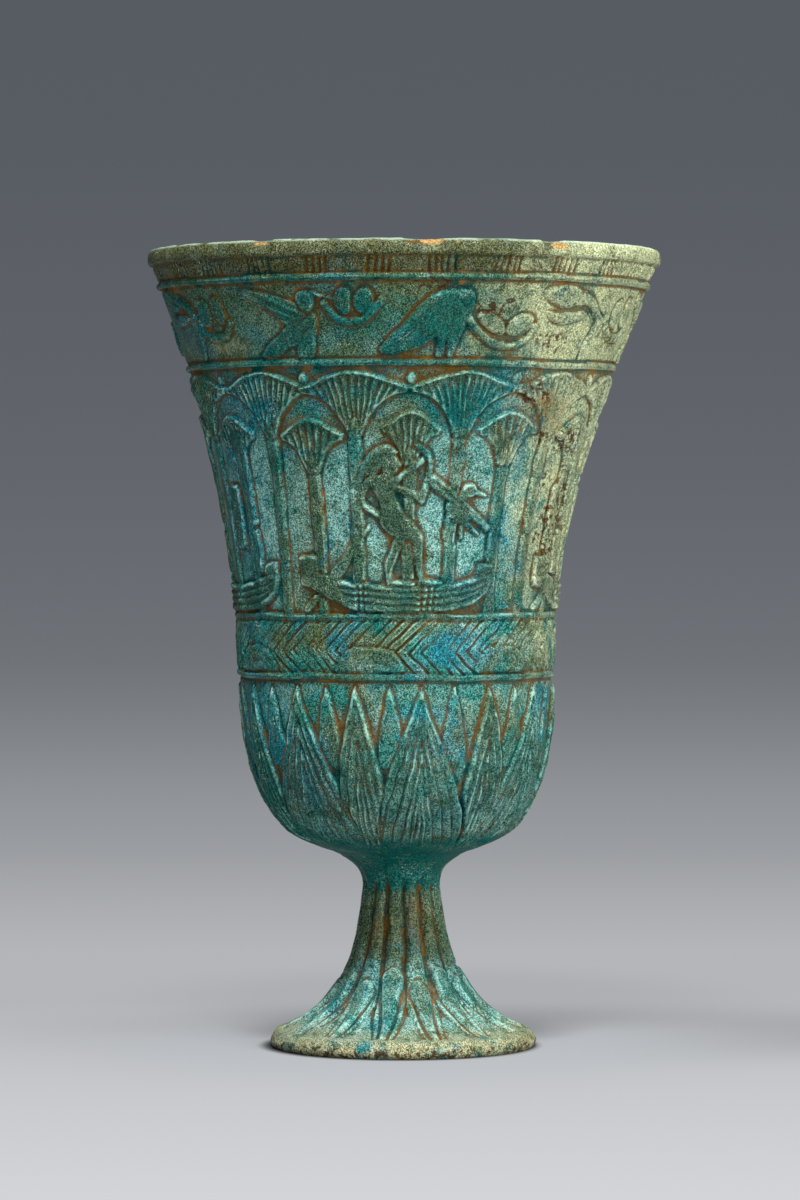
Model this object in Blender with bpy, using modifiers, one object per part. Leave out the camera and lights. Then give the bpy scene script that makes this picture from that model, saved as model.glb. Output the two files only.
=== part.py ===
"""Faience chalice: a flared cup with a leaf calyx, luted with slip to a fluted trumpet foot.

The axis is +Z, the origin is the middle of the resting face, and the front of the relief faces -Y.
All lengths are in metres.
"""

import math

import bmesh
import bpy

MM = 0.001

# Foot and stem
FOOT_RADIUS = 24.3 * MM
FOOT_EDGE_HEIGHT = 3.0 * MM
FOOT_EDGE_ROUND = 1.0 * MM
FOOT_RING_WIDTH = 5.4 * MM
FOOT_HOLLOW_DEPTH = 16.0 * MM
FOOT_CURVE_LOW_PULL = 13.8 * MM
FOOT_CURVE_HIGH_PULL = 9.9 * MM
STEM_RADIUS = 7.05 * MM
STEM_NECK_HEIGHT = 29.2 * MM
COLLAR_RADIUS = 10.4 * MM
COLLAR_HEIGHT = 5.4 * MM
COLLAR_PULL = 3.0 * MM

# Joint between foot and cup
TENON_RADIUS = 4.6 * MM
TENON_HEIGHT = 3.5 * MM
SLIP_THICKNESS = 0.6 * MM
CLEARANCE = 0.3 * MM

# Cup, register by register from the joint to the lip
CALYX_HEIGHT = 32.4 * MM
WATER_BAND_HEIGHT = 10.2 * MM
MARSH_BAND_HEIGHT = 45.6 * MM
BIRD_BAND_HEIGHT = 14.9 * MM
TICK_BAND_HEIGHT = 3.5 * MM
LIP_HEIGHT = 2.6 * MM
CALYX_TOP_RADIUS = 28.4 * MM
WATER_TOP_RADIUS = 28.8 * MM
MARSH_TOP_RADIUS = 38.7 * MM
BIRD_TOP_RADIUS = 44.6 * MM
LIP_RADIUS = 46.7 * MM
LIP_OVERHANG = 0.5 * MM
CALYX_LOW_PULL = 12.4 * MM
CALYX_HIGH_PULL = 22.0 * MM
MARSH_LOW_PULL = 17.0 * MM
MARSH_HIGH_PULL = 17.3 * MM
WALL = 3.2 * MM
FLOOR_THICKNESS = 3.0 * MM
RIDGE_HEIGHT = 0.5 * MM
RIDGE_WIDTH = 1.8 * MM

# Directions of the outline, measured from the horizontal
FOOT_TOP_ANGLE = math.radians(166)
STEM_ANGLE = math.radians(97)
COLLAR_ANGLE = math.radians(33)
CALYX_LOW_ANGLE = math.radians(20)
CALYX_HIGH_ANGLE = math.radians(87.5)
MARSH_LOW_ANGLE = math.radians(85)
MARSH_HIGH_ANGLE = math.radians(72)

# Carved relief
RELIEF_GROUND = 0.25 * MM
RELIEF_HEIGHT = 0.6 * MM
RELIEF_EDGE = 0.3 * MM
RELIEF_ROOT = 1.2 * MM

# Leaves of the calyx, broad and narrow by turns, and the foot's flutes and petals
LEAF_COUNT = 14
LEAF_TURN = math.radians(9)
LEAF_FOOT_RISE = 1.6 * MM
LEAF_TIP_GAP = 1.4 * MM
BROAD_LEAF_WIDTH = 22.0 * MM
NARROW_LEAF_WIDTH = 8.2 * MM
NARROW_LEAF_BULGE = 0.7
FLUTE_TURN = math.radians(3)
FLUTE_RADIUS = 0.8 * MM
PETAL_GAP = 1.0 * MM
PETAL_TOP_HEIGHT = 14.5 * MM
PETAL_ARCH_RISE = 2.0 * MM
PETAL_FOOT_RISE = 0.8 * MM

# Strokes of the water band
WATER_STROKES = 40

# Papyrus thicket: tall heads that meet in arches, and small heads between them
FAN_COUNT = 12
FAN_TURN = math.radians(18)
FAN_DROP = 2.0 * MM
FAN_CROWN_RISE = 2.7 * MM
FAN_BAND = 0.9 * MM
FAN_NECK_DROP = 13.6 * MM
FAN_STEM_WIDTH = 2.5 * MM
SMALL_FAN_DROP = 9.5 * MM
SMALL_FAN_CROWN_RISE = 2.3 * MM
SMALL_FAN_GAP = 0.3 * MM
SMALL_FAN_NECK_DROP = 19.5 * MM
SMALL_STEM_WIDTH = 2.4 * MM

# Boats
BOAT_COUNT = 4
BOAT_LENGTH = 41.0 * MM
BOAT_RADIUS = 1.8 * MM
BOAT_PROUD = 0.4 * MM
BOAT_RISE = 4.0 * MM
BOAT_SHEER = 4.6 * MM

# Boatman and the bird he holds, as a middle and an outline round it, and as limbs. Points are given
# as (millimetres across, share of the band's height)
MAN_COUNT = 2
LIMB_RADIUS = 1.1 * MM
MAN = ((-1.6, 0.50), (
    (-6.0, 0.54), (-7.0, 0.60), (-2.0, 0.68), (0.4, 0.62), (0.5, 0.51), (1.8, 0.42), (5.2, 0.31), (2.7, 0.30),
    (-3.2, 0.37), (-3.5, 0.46),
))
LIMBS = (
    ((4.4, 0.32), (4.8, 0.145)),
    ((0.6, 0.32), (-1.4, 0.145)),
    ((-1.0, 0.525), (4.5, 0.467), (5.6, 0.60)),
)

# Birds and nests in turn, drawn in the same way
BIRD_COUNT = 9
BIRD_TURN = math.radians(-70.5)
NEST_STEP = math.radians(18)
NEST = ((0.0, 0.50), (
    (-5.2, 0.44), (-2.4, 0.27), (2.4, 0.27), (5.0, 0.45), (4.0, 0.76), (-3.8, 0.76),
))
RISING_BIRD = ((2.2, 0.50), (
    (-9.2, 0.86), (-1.0, 0.76), (5.0, 0.81), (6.2, 0.48), (4.5, 0.08), (-6.6, 0.08), (-0.4, 0.42),
))
BROODING_BIRD = ((3.0, 0.45), (
    (-8.4, 0.12), (-2.2, 0.57), (2.8, 0.82), (8.6, 0.75), (7.2, 0.34), (5.6, 0.08), (0.0, 0.17),
))
FLYING_BIRD = ((1.5, 0.65), (
    (-7.8, 0.85), (-1.6, 0.89), (3.5, 0.72), (10.0, 0.52), (5.0, 0.44), (-6.2, 0.55),
))

# Shares along the foot's curve where the flutes start and end
FLUTE_SPAN = (0.12, 0.94)

# Facets
STEPS_PER_LEAF = 3
CALYX_FACETS = 8
MARSH_FACETS = 6
FLOOR_FACETS = 3
COLLAR_FACETS = 4
LIP_FACETS = 5
FLARE_FACETS = 7
HOLLOW_FACETS = 4
LEAF_ROWS = 6
PETAL_ROWS = 3
FLUTE_POINTS = 4
BOAT_POINTS = 6
HALVINGS = 40
NUDGE = 0.001

# Heights that follow from the sizes above
JOINT_Z = STEM_NECK_HEIGHT + COLLAR_HEIGHT
CUP_Z = JOINT_Z + SLIP_THICKNESS + 2 * CLEARANCE
CALYX_TOP_Z = CUP_Z + CALYX_HEIGHT
WATER_TOP_Z = CALYX_TOP_Z + WATER_BAND_HEIGHT
MARSH_TOP_Z = WATER_TOP_Z + MARSH_BAND_HEIGHT
BIRD_TOP_Z = MARSH_TOP_Z + BIRD_BAND_HEIGHT
LIP_Z = BIRD_TOP_Z + TICK_BAND_HEIGHT
SLIP_RADIUS = TENON_RADIUS + CLEARANCE + SLIP_THICKNESS
SOCKET_RADIUS = SLIP_RADIUS + CLEARANCE
TENON_TOP_Z = JOINT_Z + TENON_HEIGHT
SOCKET_TOP_Z = TENON_TOP_Z + SLIP_THICKNESS + 2 * CLEARANCE
FLOOR_Z = SOCKET_TOP_Z + FLOOR_THICKNESS
LEAF_PITCH = 2 * math.pi / LEAF_COUNT
FAN_PITCH = 2 * math.pi / FAN_COUNT
RELIEF_TOP = RELIEF_GROUND + RELIEF_HEIGHT
LEAF_FOOT_Z = CUP_Z + LEAF_FOOT_RISE
LEAF_TIP_Z = CALYX_TOP_Z - LEAF_TIP_GAP
FAN_TOP_Z = MARSH_TOP_Z - FAN_DROP
FAN_NECK_Z = MARSH_TOP_Z - FAN_NECK_DROP
ARCH_Z = FAN_TOP_Z - FAN_CROWN_RISE - FAN_BAND
SMALL_FAN_TOP_Z = MARSH_TOP_Z - SMALL_FAN_DROP
SMALL_FAN_NECK_Z = MARSH_TOP_Z - SMALL_FAN_NECK_DROP


def clear_scene():
    """Empty the scene of objects and of collections left by an earlier run."""
    for thing in list(bpy.data.objects):
        bpy.data.objects.remove(thing, do_unlink=True)
    for group in list(bpy.data.collections):
        bpy.data.collections.remove(group)


def new_collection(name):
    """A collection linked to the scene."""
    group = bpy.data.collections.new(name)
    bpy.context.scene.collection.children.link(group)
    return group


def finish(name, colour, roughness):
    """A Principled material with one colour and roughness, not metallic."""
    material = bpy.data.materials.new(name)
    material.use_nodes = True
    shader = material.node_tree.nodes["Principled BSDF"]
    shader.inputs["Base Color"].default_value = (*colour, 1.0)
    shader.inputs["Roughness"].default_value = roughness
    shader.inputs["Metallic"].default_value = 0.0
    return material


def pulled(point, angle, length):
    """The point moved by a length in a direction of the outline's plane."""
    return (point[0] + length * math.cos(angle), point[1] + length * math.sin(angle))


def curve_point(corners, share):
    """The point at a share from 0 to 1 along a cubic curve with four corners."""
    back = 1 - share
    weights = (back**3, 3 * back**2 * share, 3 * back * share**2, share**3)
    return tuple(sum(w * corner[axis] for w, corner in zip(weights, corners)) for axis in (0, 1))


def spaced(first, last, count):
    """Evenly spaced numbers from first to last."""
    return [first + (last - first) * i / (count - 1) for i in range(count)]


def curve_points(corners, count):
    """Evenly shared points along a cubic curve, its two ends included."""
    return [curve_point(corners, share) for share in spaced(0, 1, count)]


def share_at(corners, height):
    """Share along a rising curve at which it reaches a height, by halving."""
    low, high = 0.0, 1.0
    for _ in range(HALVINGS):
        middle = (low + high) / 2
        if curve_point(corners, middle)[1] < height:
            low = middle
        else:
            high = middle
    return low


def on_wall(corners, height, lift):
    """The point of a rising curve at a height, moved outwards by a lift square to the curve."""
    share = share_at(corners, height)
    radius, level = curve_point(corners, share)
    ahead = curve_point(corners, min(share + NUDGE, 1))
    behind = curve_point(corners, max(share - NUDGE, 0))
    run, rise = ahead[0] - behind[0], ahead[1] - behind[1]
    length = math.hypot(run, rise)
    return (radius + lift * rise / length, level - lift * run / length)


def inset(points, depth):
    """The points of an outline, read upwards, moved towards the axis square to the outline."""
    moved = []
    for i, (radius, height) in enumerate(points):
        before = points[max(i - 1, 0)]
        after = points[min(i + 1, len(points) - 1)]
        run, rise = after[0] - before[0], after[1] - before[1]
        length = math.hypot(run, rise)
        moved.append((radius - depth * rise / length, height + depth * run / length))
    return moved


CALYX_FOOT = (COLLAR_RADIUS, CUP_Z)
CALYX_TOP = (CALYX_TOP_RADIUS, CALYX_TOP_Z)
WATER_TOP = (WATER_TOP_RADIUS, WATER_TOP_Z)
MARSH_TOP = (MARSH_TOP_RADIUS, MARSH_TOP_Z)
BIRD_TOP = (BIRD_TOP_RADIUS, BIRD_TOP_Z)
STEM_NECK = (STEM_RADIUS, STEM_NECK_HEIGHT)
FOOT_BROW = (FOOT_RADIUS - FOOT_EDGE_ROUND, FOOT_EDGE_HEIGHT)
COLLAR_TOP = (COLLAR_RADIUS, JOINT_Z)

CALYX_CURVE = (
    CALYX_FOOT,
    pulled(CALYX_FOOT, CALYX_LOW_ANGLE, CALYX_LOW_PULL),
    pulled(CALYX_TOP, CALYX_HIGH_ANGLE, -CALYX_HIGH_PULL),
    CALYX_TOP,
)
WATER_CURVE = (CALYX_TOP, CALYX_TOP, WATER_TOP, WATER_TOP)
BIRD_CURVE = (MARSH_TOP, MARSH_TOP, BIRD_TOP, BIRD_TOP)
MARSH_CURVE = (
    WATER_TOP,
    pulled(WATER_TOP, MARSH_LOW_ANGLE, MARSH_LOW_PULL),
    pulled(MARSH_TOP, MARSH_HIGH_ANGLE, -MARSH_HIGH_PULL),
    MARSH_TOP,
)
FOOT_CURVE = (
    FOOT_BROW,
    pulled(FOOT_BROW, FOOT_TOP_ANGLE, FOOT_CURVE_LOW_PULL),
    pulled(STEM_NECK, STEM_ANGLE, -FOOT_CURVE_HIGH_PULL),
    STEM_NECK,
)
COLLAR_CURVE = (
    STEM_NECK,
    pulled(STEM_NECK, math.pi / 2, COLLAR_PULL),
    pulled(COLLAR_TOP, COLLAR_ANGLE, -COLLAR_PULL),
    COLLAR_TOP,
)


def turned(name, outline, group, material):
    """A solid of revolution. The outline starts and ends on the axis and runs down its outer side."""
    mesh = bpy.data.meshes.new(name)
    edges = [(i, i + 1) for i in range(len(outline) - 1)]
    mesh.from_pydata([(radius, 0, height) for radius, height in outline], edges, [])
    solid = bpy.data.objects.new(name, mesh)
    group.objects.link(solid)
    solid.data.materials.append(material)
    screw = solid.modifiers.new("Turn", "SCREW")
    screw.steps = screw.render_steps = LEAF_COUNT * STEPS_PER_LEAF
    screw.use_merge_vertices = True
    screw.merge_threshold = 0.00001
    return solid


def round_the_axis(radius, height, angle):
    """Place of a point at a radius, height and angle, the angle measured from the front."""
    return (radius * math.sin(angle), -radius * math.cos(angle), height)


def rod(name, points, thickness, group):
    """A square rod along points given as (radius, height, angle, share of thickness), as a closed mesh."""
    data = bpy.data.curves.new(name, "CURVE")
    data.dimensions = "3D"
    data.bevel_depth = thickness
    data.bevel_resolution = 0
    data.use_fill_caps = True
    spline = data.splines.new("POLY")
    spline.points.add(len(points) - 1)
    for target, (radius, height, angle, share) in zip(spline.points, points):
        target.co = (*round_the_axis(radius, height, angle), 1)
        target.radius = share
    solid = bpy.data.objects.new(name, data)
    group.objects.link(solid)
    bpy.context.view_layer.update()
    mesh = bpy.data.meshes.new_from_object(solid.evaluated_get(bpy.context.evaluated_depsgraph_get()))
    bpy.data.objects.remove(solid)
    return mesh


def tool(name, build, group):
    """A hidden object that holds the bodies of a mesh, to be cut out of a piece or joined to it."""
    bmesh.ops.remove_doubles(build, verts=build.verts, dist=0.000001)
    bmesh.ops.recalc_face_normals(build, faces=build.faces)
    mesh = bpy.data.meshes.new(name)
    build.to_mesh(mesh)
    build.free()
    body = bpy.data.objects.new(name, mesh)
    group.objects.link(body)
    body.hide_render = True
    body.display_type = "WIRE"
    return body


def rods(name, paths, thickness, group):
    """All the rods of one pattern, as separate bodies in one tool."""
    build = bmesh.new()
    for i, points in enumerate(paths):
        build.from_mesh(rod(f"{name}_{i}", points, thickness, group))
    return tool(name, build, group)


def relief_ring(name, corners, rows, group):
    """A closed ring lofted through rows of (height, angle, lift) on a wall, with its root in the wall."""
    outer = [[(*on_wall(corners, height, lift), angle) for height, angle, lift in row] for row in rows]
    root = [[(*on_wall(corners, height, -RELIEF_ROOT), angle) for height, angle, _ in row] for row in rows]
    build = bmesh.new()
    rounds = [[build.verts.new(round_the_axis(*point)) for point in row] for row in outer + root[::-1]]
    for low, high in zip(rounds, rounds[1:] + rounds[:1]):
        for i, corner in enumerate(low):
            j = (i + 1) % len(low)
            build.faces.new((corner, low[j], high[j], high[i]))
    bmesh.ops.triangulate(build, faces=build.faces)
    return tool(name, build, group)


def on_band(corners, point, turn, lift):
    """Radius, height and angle of a drawn point on a band of the wall, for a drawing at a turn."""
    across, share = point
    height = corners[0][1] + share * (corners[3][1] - corners[0][1])
    radius, height = on_wall(corners, height, lift)
    return (radius, height, turn + across * MM / radius)


def plates(name, corners, drawings, lift, group):
    """Raised plates on a band: each drawn outline is fanned to its middle, and has its root in the wall."""
    build = bmesh.new()
    for turn, (middle, outline) in drawings:
        rings = []
        for depth in (lift, -RELIEF_ROOT):
            places = [round_the_axis(*on_band(corners, point, turn, depth)) for point in (middle, *outline)]
            hub, *ring = [build.verts.new(place) for place in places]
            rings.append(ring)
            for i, corner in enumerate(ring):
                build.faces.new((hub, corner, ring[i - 1]))
        face, root = rings
        for i, corner in enumerate(face):
            build.faces.new((corner, root[i], root[i - 1], face[i - 1]))
    bmesh.ops.triangulate(build, faces=build.faces)
    return tool(name, build, group)


def combine(solid, body, operation):
    """Join a tool to a solid with UNION, or take it out with DIFFERENCE."""
    boolean = solid.modifiers.new(body.name, "BOOLEAN")
    boolean.operation = operation
    boolean.object = body
    boolean.solver = "EXACT"


def ridge(crest):
    """A low rounded ridge round the cup, as three outline points from above to below."""
    radius, height = crest
    half = RIDGE_WIDTH / 2
    return [(radius, height + half), (radius + RIDGE_HEIGHT, height), (radius, height - half)]


def cup_outline():
    """Inner floor, inner wall, lip, outer wall with its ridges, base and socket."""
    calyx = curve_points(CALYX_CURVE, CALYX_FACETS)
    marsh = curve_points(MARSH_CURVE, MARSH_FACETS)
    wall = inset(calyx[::2] + marsh + [BIRD_TOP], WALL)
    wall = [point for point in wall if point[1] > FLOOR_Z + WALL]
    half = WALL / 2
    middle = LIP_RADIUS - half
    arc = [(middle - half * math.cos(turn), math.sin(turn)) for turn in spaced(0, math.pi, LIP_FACETS)]
    lip = [(radius, LIP_Z + LIP_HEIGHT * rise) for radius, rise in arc]
    lip[-1] = (LIP_RADIUS, LIP_Z + LIP_HEIGHT / 3)
    lip.append((LIP_RADIUS - LIP_OVERHANG, LIP_Z))
    foot_of_wall = wall[0]
    floor_curve = (
        (0, FLOOR_Z),
        (foot_of_wall[0] / 2, FLOOR_Z),
        (foot_of_wall[0], FLOOR_Z + half),
        foot_of_wall,
    )
    inside = curve_points(floor_curve, FLOOR_FACETS)[:-1] + wall
    under_thicket = inset(marsh, RELIEF_ROOT / 2)
    outside = ridge(BIRD_TOP) + ridge(MARSH_TOP) + under_thicket[-2:0:-1] + ridge(WATER_TOP)
    outside += ridge(CALYX_TOP) + calyx[-2::-1]
    socket = [(SOCKET_RADIUS, CUP_Z), (SOCKET_RADIUS, SOCKET_TOP_Z), (0, SOCKET_TOP_Z)]
    return inside + lip + outside + socket


def foot_outline():
    """Tenon, shoulder, collar, stem, foot, edge, resting ring and hollow underside."""
    ring_inner = FOOT_RADIUS - FOOT_RING_WIDTH
    tenon = [(0, TENON_TOP_Z), (TENON_RADIUS, TENON_TOP_Z), (TENON_RADIUS, JOINT_Z)]
    collar = curve_points(COLLAR_CURVE, COLLAR_FACETS)[::-1]
    flare = curve_points(FOOT_CURVE, FLARE_FACETS)[-2::-1]
    edge = [
        (FOOT_RADIUS, FOOT_EDGE_HEIGHT / 2),
        (FOOT_RADIUS - FOOT_EDGE_ROUND / 4, FOOT_EDGE_ROUND / 4),
        (FOOT_RADIUS - FOOT_EDGE_ROUND / 2, 0),
        (ring_inner, 0),
    ]
    hollow_curve = (
        (ring_inner, 0),
        (ring_inner / 3, FOOT_HOLLOW_DEPTH / 4),
        (ring_inner / 3, FOOT_HOLLOW_DEPTH),
        (0, FOOT_HOLLOW_DEPTH),
    )
    return tenon + collar + flare + edge + curve_points(hollow_curve, HOLLOW_FACETS)[1:]


def slip_outline():
    """A thin cap over the tenon with a brim between the two shoulders."""
    top = TENON_TOP_Z + CLEARANCE
    bottom = JOINT_Z + CLEARANCE
    bore = TENON_RADIUS + CLEARANCE
    return [
        (0, top + SLIP_THICKNESS),
        (SLIP_RADIUS, top + SLIP_THICKNESS),
        (SLIP_RADIUS, bottom + SLIP_THICKNESS),
        (COLLAR_RADIUS, bottom + SLIP_THICKNESS),
        (COLLAR_RADIUS, bottom),
        (bore, bottom),
        (bore, top),
        (0, top),
    ]


def leaf_row(height, halves, lifts):
    """One round of the calyx: the edges and middles of the leaves, and the tips of back leaves between."""
    edge = RELIEF_EDGE / on_wall(CALYX_CURVE, height, 0)[0]
    ground, top, back = lifts
    row = []
    for leaf in range(LEAF_COUNT):
        middle = LEAF_TURN + leaf * LEAF_PITCH
        half = max(halves[leaf % 2], 2 * edge)
        row.append((height, middle - half - edge, ground))
        row.append((height, middle - half + edge, top))
        row.append((height, middle, top))
        row.append((height, middle + half - edge, top))
        row.append((height, middle + half + edge, ground))
        reach = max(halves[(leaf + 1) % 2], 2 * edge)
        row.append((height, middle + (half + LEAF_PITCH - reach) / 2, back))
    return row


def leaf_rows():
    """Rounds up the calyx: broad leaves taper to their tips, narrow ones swell and cover their sides."""
    rows = []
    for along in spaced(0, 1, LEAF_ROWS):
        height = LEAF_FOOT_Z + along * (LEAF_TIP_Z - LEAF_FOOT_Z)
        radius = on_wall(CALYX_CURVE, height, 0)[0]
        edge = RELIEF_EDGE / radius
        narrow = NARROW_LEAF_WIDTH / 2 / radius * math.sin(math.pi * along**NARROW_LEAF_BULGE)
        broad = BROAD_LEAF_WIDTH / 2 / radius * (1 - along)
        broad = min(broad, LEAF_PITCH - max(narrow, 2 * edge) - 3 * edge)
        back = RELIEF_GROUND + RELIEF_HEIGHT / 2 * along
        rows.append(leaf_row(height, (broad, narrow), (RELIEF_GROUND, RELIEF_TOP, back)))
        if along == 0:
            sunk = (-RELIEF_HEIGHT,) * 3
            rows.insert(0, leaf_row(LEAF_FOOT_Z - RELIEF_EDGE, (broad, narrow), sunk))
    rows.append(leaf_row(CALYX_TOP_Z, (0, 0), (0, 0, 0)))
    return rows


def water_rows():
    """Rounds up the water band: strokes that lean away from its middle line and so form chevrons."""
    middle = (CALYX_TOP_Z + WATER_TOP_Z) / 2
    low = CALYX_TOP_Z + RIDGE_WIDTH / 2
    high = WATER_TOP_Z - RIDGE_WIDTH / 2
    rows = []
    for height, carved in ((CALYX_TOP_Z, 0), (low, 1), (middle, 1), (high, 1), (WATER_TOP_Z, 0)):
        shift = abs(height - middle) / WATER_TOP_RADIUS
        row = []
        for stroke in range(2 * WATER_STROKES):
            lift = (RELIEF_GROUND + RELIEF_HEIGHT / 2 * (stroke % 2)) * carved
            row.append((height, math.pi * stroke / WATER_STROKES + shift, lift))
        rows.append(row)
    return rows


def fan_row(places, heights, raised):
    """One round of the thicket from half a head: shares of the half pitch, heights and what is raised."""
    row = []
    for fan in range(FAN_COUNT):
        middle = FAN_TURN + fan * FAN_PITCH
        half = list(zip(places, heights, raised))
        for side, points in ((-1, half[-2:0:-1]), (1, half)):
            for share, height, lift in points:
                row.append((height, middle + side * share * FAN_PITCH / 2, lift))
    return row


def fan_rows():
    """Rounds up the thicket: stems, small heads, arches and the scalloped top of the tall heads."""
    g, t = RELIEF_GROUND, RELIEF_TOP

    def shares(height, stem, small):
        """Middle, tall head's edge, small head's edge and the middle between two tall heads."""
        half = half_pitch(height)
        edge = 2 * RELIEF_EDGE
        return (0, stem / half, (stem + edge) / half, 1 - (small + edge) / half, 1 - small / half, 1)

    def half_pitch(height):
        return on_wall(MARSH_CURVE, height, 0)[0] * FAN_PITCH / 2

    def level(height):
        return (height,) * 6

    stem, small = FAN_STEM_WIDTH / 2, SMALL_STEM_WIDTH / 2
    low_z = WATER_TOP_Z + RIDGE_WIDTH / 2
    small_end_z = SMALL_FAN_TOP_Z - SMALL_FAN_CROWN_RISE
    wide = half_pitch(small_end_z) - stem * 1.5 - 4 * RELIEF_EDGE - SMALL_FAN_GAP
    both = (t, t, g, g, t, t)
    tall = (t, t, g, g, g, g)
    crown = tuple(place / 5 for place in range(6))
    crown_z = tuple(FAN_TOP_Z - FAN_CROWN_RISE * place**2 for place in crown)
    small_z = (small_end_z,) * 5 + (SMALL_FAN_TOP_Z,)
    over_z = tuple(height + 2 * RELIEF_EDGE for height in small_z)
    spring_z = (ARCH_Z + small_end_z) / 2
    arch = (0, 0.80, 0.84, 0.90, 0.95, 1)
    return [
        fan_row(shares(WATER_TOP_Z, stem, small), level(WATER_TOP_Z), (0,) * 6),
        fan_row(shares(low_z, stem, small), level(low_z), both),
        fan_row(shares(SMALL_FAN_NECK_Z, stem, small), level(SMALL_FAN_NECK_Z), both),
        fan_row(shares(FAN_NECK_Z, stem, wide * 0.7), level(FAN_NECK_Z), both),
        fan_row(shares(small_end_z, stem * 1.3, wide), small_z, both),
        fan_row(shares(small_end_z, stem * 1.5, wide), over_z, tall),
        fan_row(shares(spring_z, stem * 3.2, wide * 0.6), level(spring_z), tall),
        fan_row(arch, level(ARCH_Z - RELIEF_EDGE), tall),
        fan_row(arch, level(ARCH_Z + RELIEF_EDGE), (t,) * 6),
        fan_row(crown, crown_z, (t,) * 6),
        fan_row(crown, tuple(height + 2 * RELIEF_EDGE for height in crown_z), (g,) * 6),
        fan_row(crown, level(MARSH_TOP_Z), (0,) * 6),
    ]


def boat_paths():
    """Hulls that lie along the wall, their ends swept up and tapering."""
    paths = []
    for boat in range(BOAT_COUNT):
        points = []
        for place in spaced(-1, 1, BOAT_POINTS):
            height = WATER_TOP_Z + BOAT_RISE + BOAT_SHEER * place**2
            radius, height = on_wall(MARSH_CURVE, height, RELIEF_TOP + BOAT_PROUD - BOAT_RADIUS)
            angle = 2 * math.pi * boat / BOAT_COUNT + place * BOAT_LENGTH / 2 / radius
            points.append((radius, height, angle, 1 - place**2 / 4))
        paths.append(points)
    return paths


def boatmen():
    """Turns and drawings of the boatmen."""
    return [(2 * math.pi * man / MAN_COUNT, MAN) for man in range(MAN_COUNT)]


def limb_paths():
    """The boatmen's legs and the arm that holds a bird."""
    paths = []
    for man in range(MAN_COUNT):
        turn = 2 * math.pi * man / MAN_COUNT
        for limb in LIMBS:
            depth = RELIEF_TOP + BOAT_PROUD - LIMB_RADIUS
            paths.append([(*on_band(MARSH_CURVE, point, turn, depth), 1) for point in limb])
    return paths


def birds():
    """Turns and drawings of the birds under the lip, three kinds by turns."""
    kinds = (FLYING_BIRD, RISING_BIRD, BROODING_BIRD)
    return [(BIRD_TURN + 2 * math.pi * bird / BIRD_COUNT, kinds[bird % 3]) for bird in range(BIRD_COUNT)]


def nests():
    """Turns and drawings of the nests, one beside each bird."""
    return [(turn + NEST_STEP, NEST) for turn, _ in birds()]


def flute_paths():
    """Grooves that run down the stem and fan out over the foot, between its petals."""
    paths = []
    for flute in range(LEAF_COUNT):
        angle = FLUTE_TURN + flute * LEAF_PITCH
        shares = spaced(*FLUTE_SPAN, FLUTE_POINTS)
        paths.append([(*curve_point(FOOT_CURVE, share), angle, 1) for share in shares])
    return paths


def petal_row(height, rise, lifts):
    """One round of the foot: for each petal its edges, its middle, and the flute beside it."""
    row = []
    for petal in range(LEAF_COUNT):
        middle = FLUTE_TURN + (petal + 0.5) * LEAF_PITCH
        radius = on_wall(FOOT_CURVE, height, 0)[0]
        edge = RELIEF_EDGE / radius
        half = LEAF_PITCH / 2 - (PETAL_GAP + RELIEF_EDGE) / radius
        ground, top = lifts
        row.append((height, middle - half - edge, ground))
        row.append((height, middle - half + edge, top))
        row.append((height + rise, middle, top))
        row.append((height, middle + half - edge, top))
        row.append((height, middle + half + edge, ground))
        row.append((height, middle + LEAF_PITCH / 2, ground))
    return row


def petal_rows():
    """Rounds up the foot: petals that rise from its edge to rounded tops."""
    low_z = FOOT_EDGE_HEIGHT + PETAL_FOOT_RISE
    shoulder_z = PETAL_TOP_HEIGHT - PETAL_ARCH_RISE
    rows = [petal_row(low_z, 0, (-RELIEF_HEIGHT, -RELIEF_HEIGHT))]
    for height in spaced(low_z + 2 * RELIEF_EDGE, shoulder_z, PETAL_ROWS):
        rise = PETAL_ARCH_RISE if height == shoulder_z else 0
        rows.append(petal_row(height, rise, (RELIEF_GROUND, RELIEF_TOP)))
    over_z = shoulder_z + 2 * RELIEF_EDGE
    rows.append(petal_row(over_z, PETAL_ARCH_RISE, (-RELIEF_GROUND, -RELIEF_GROUND)))
    return rows


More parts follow.
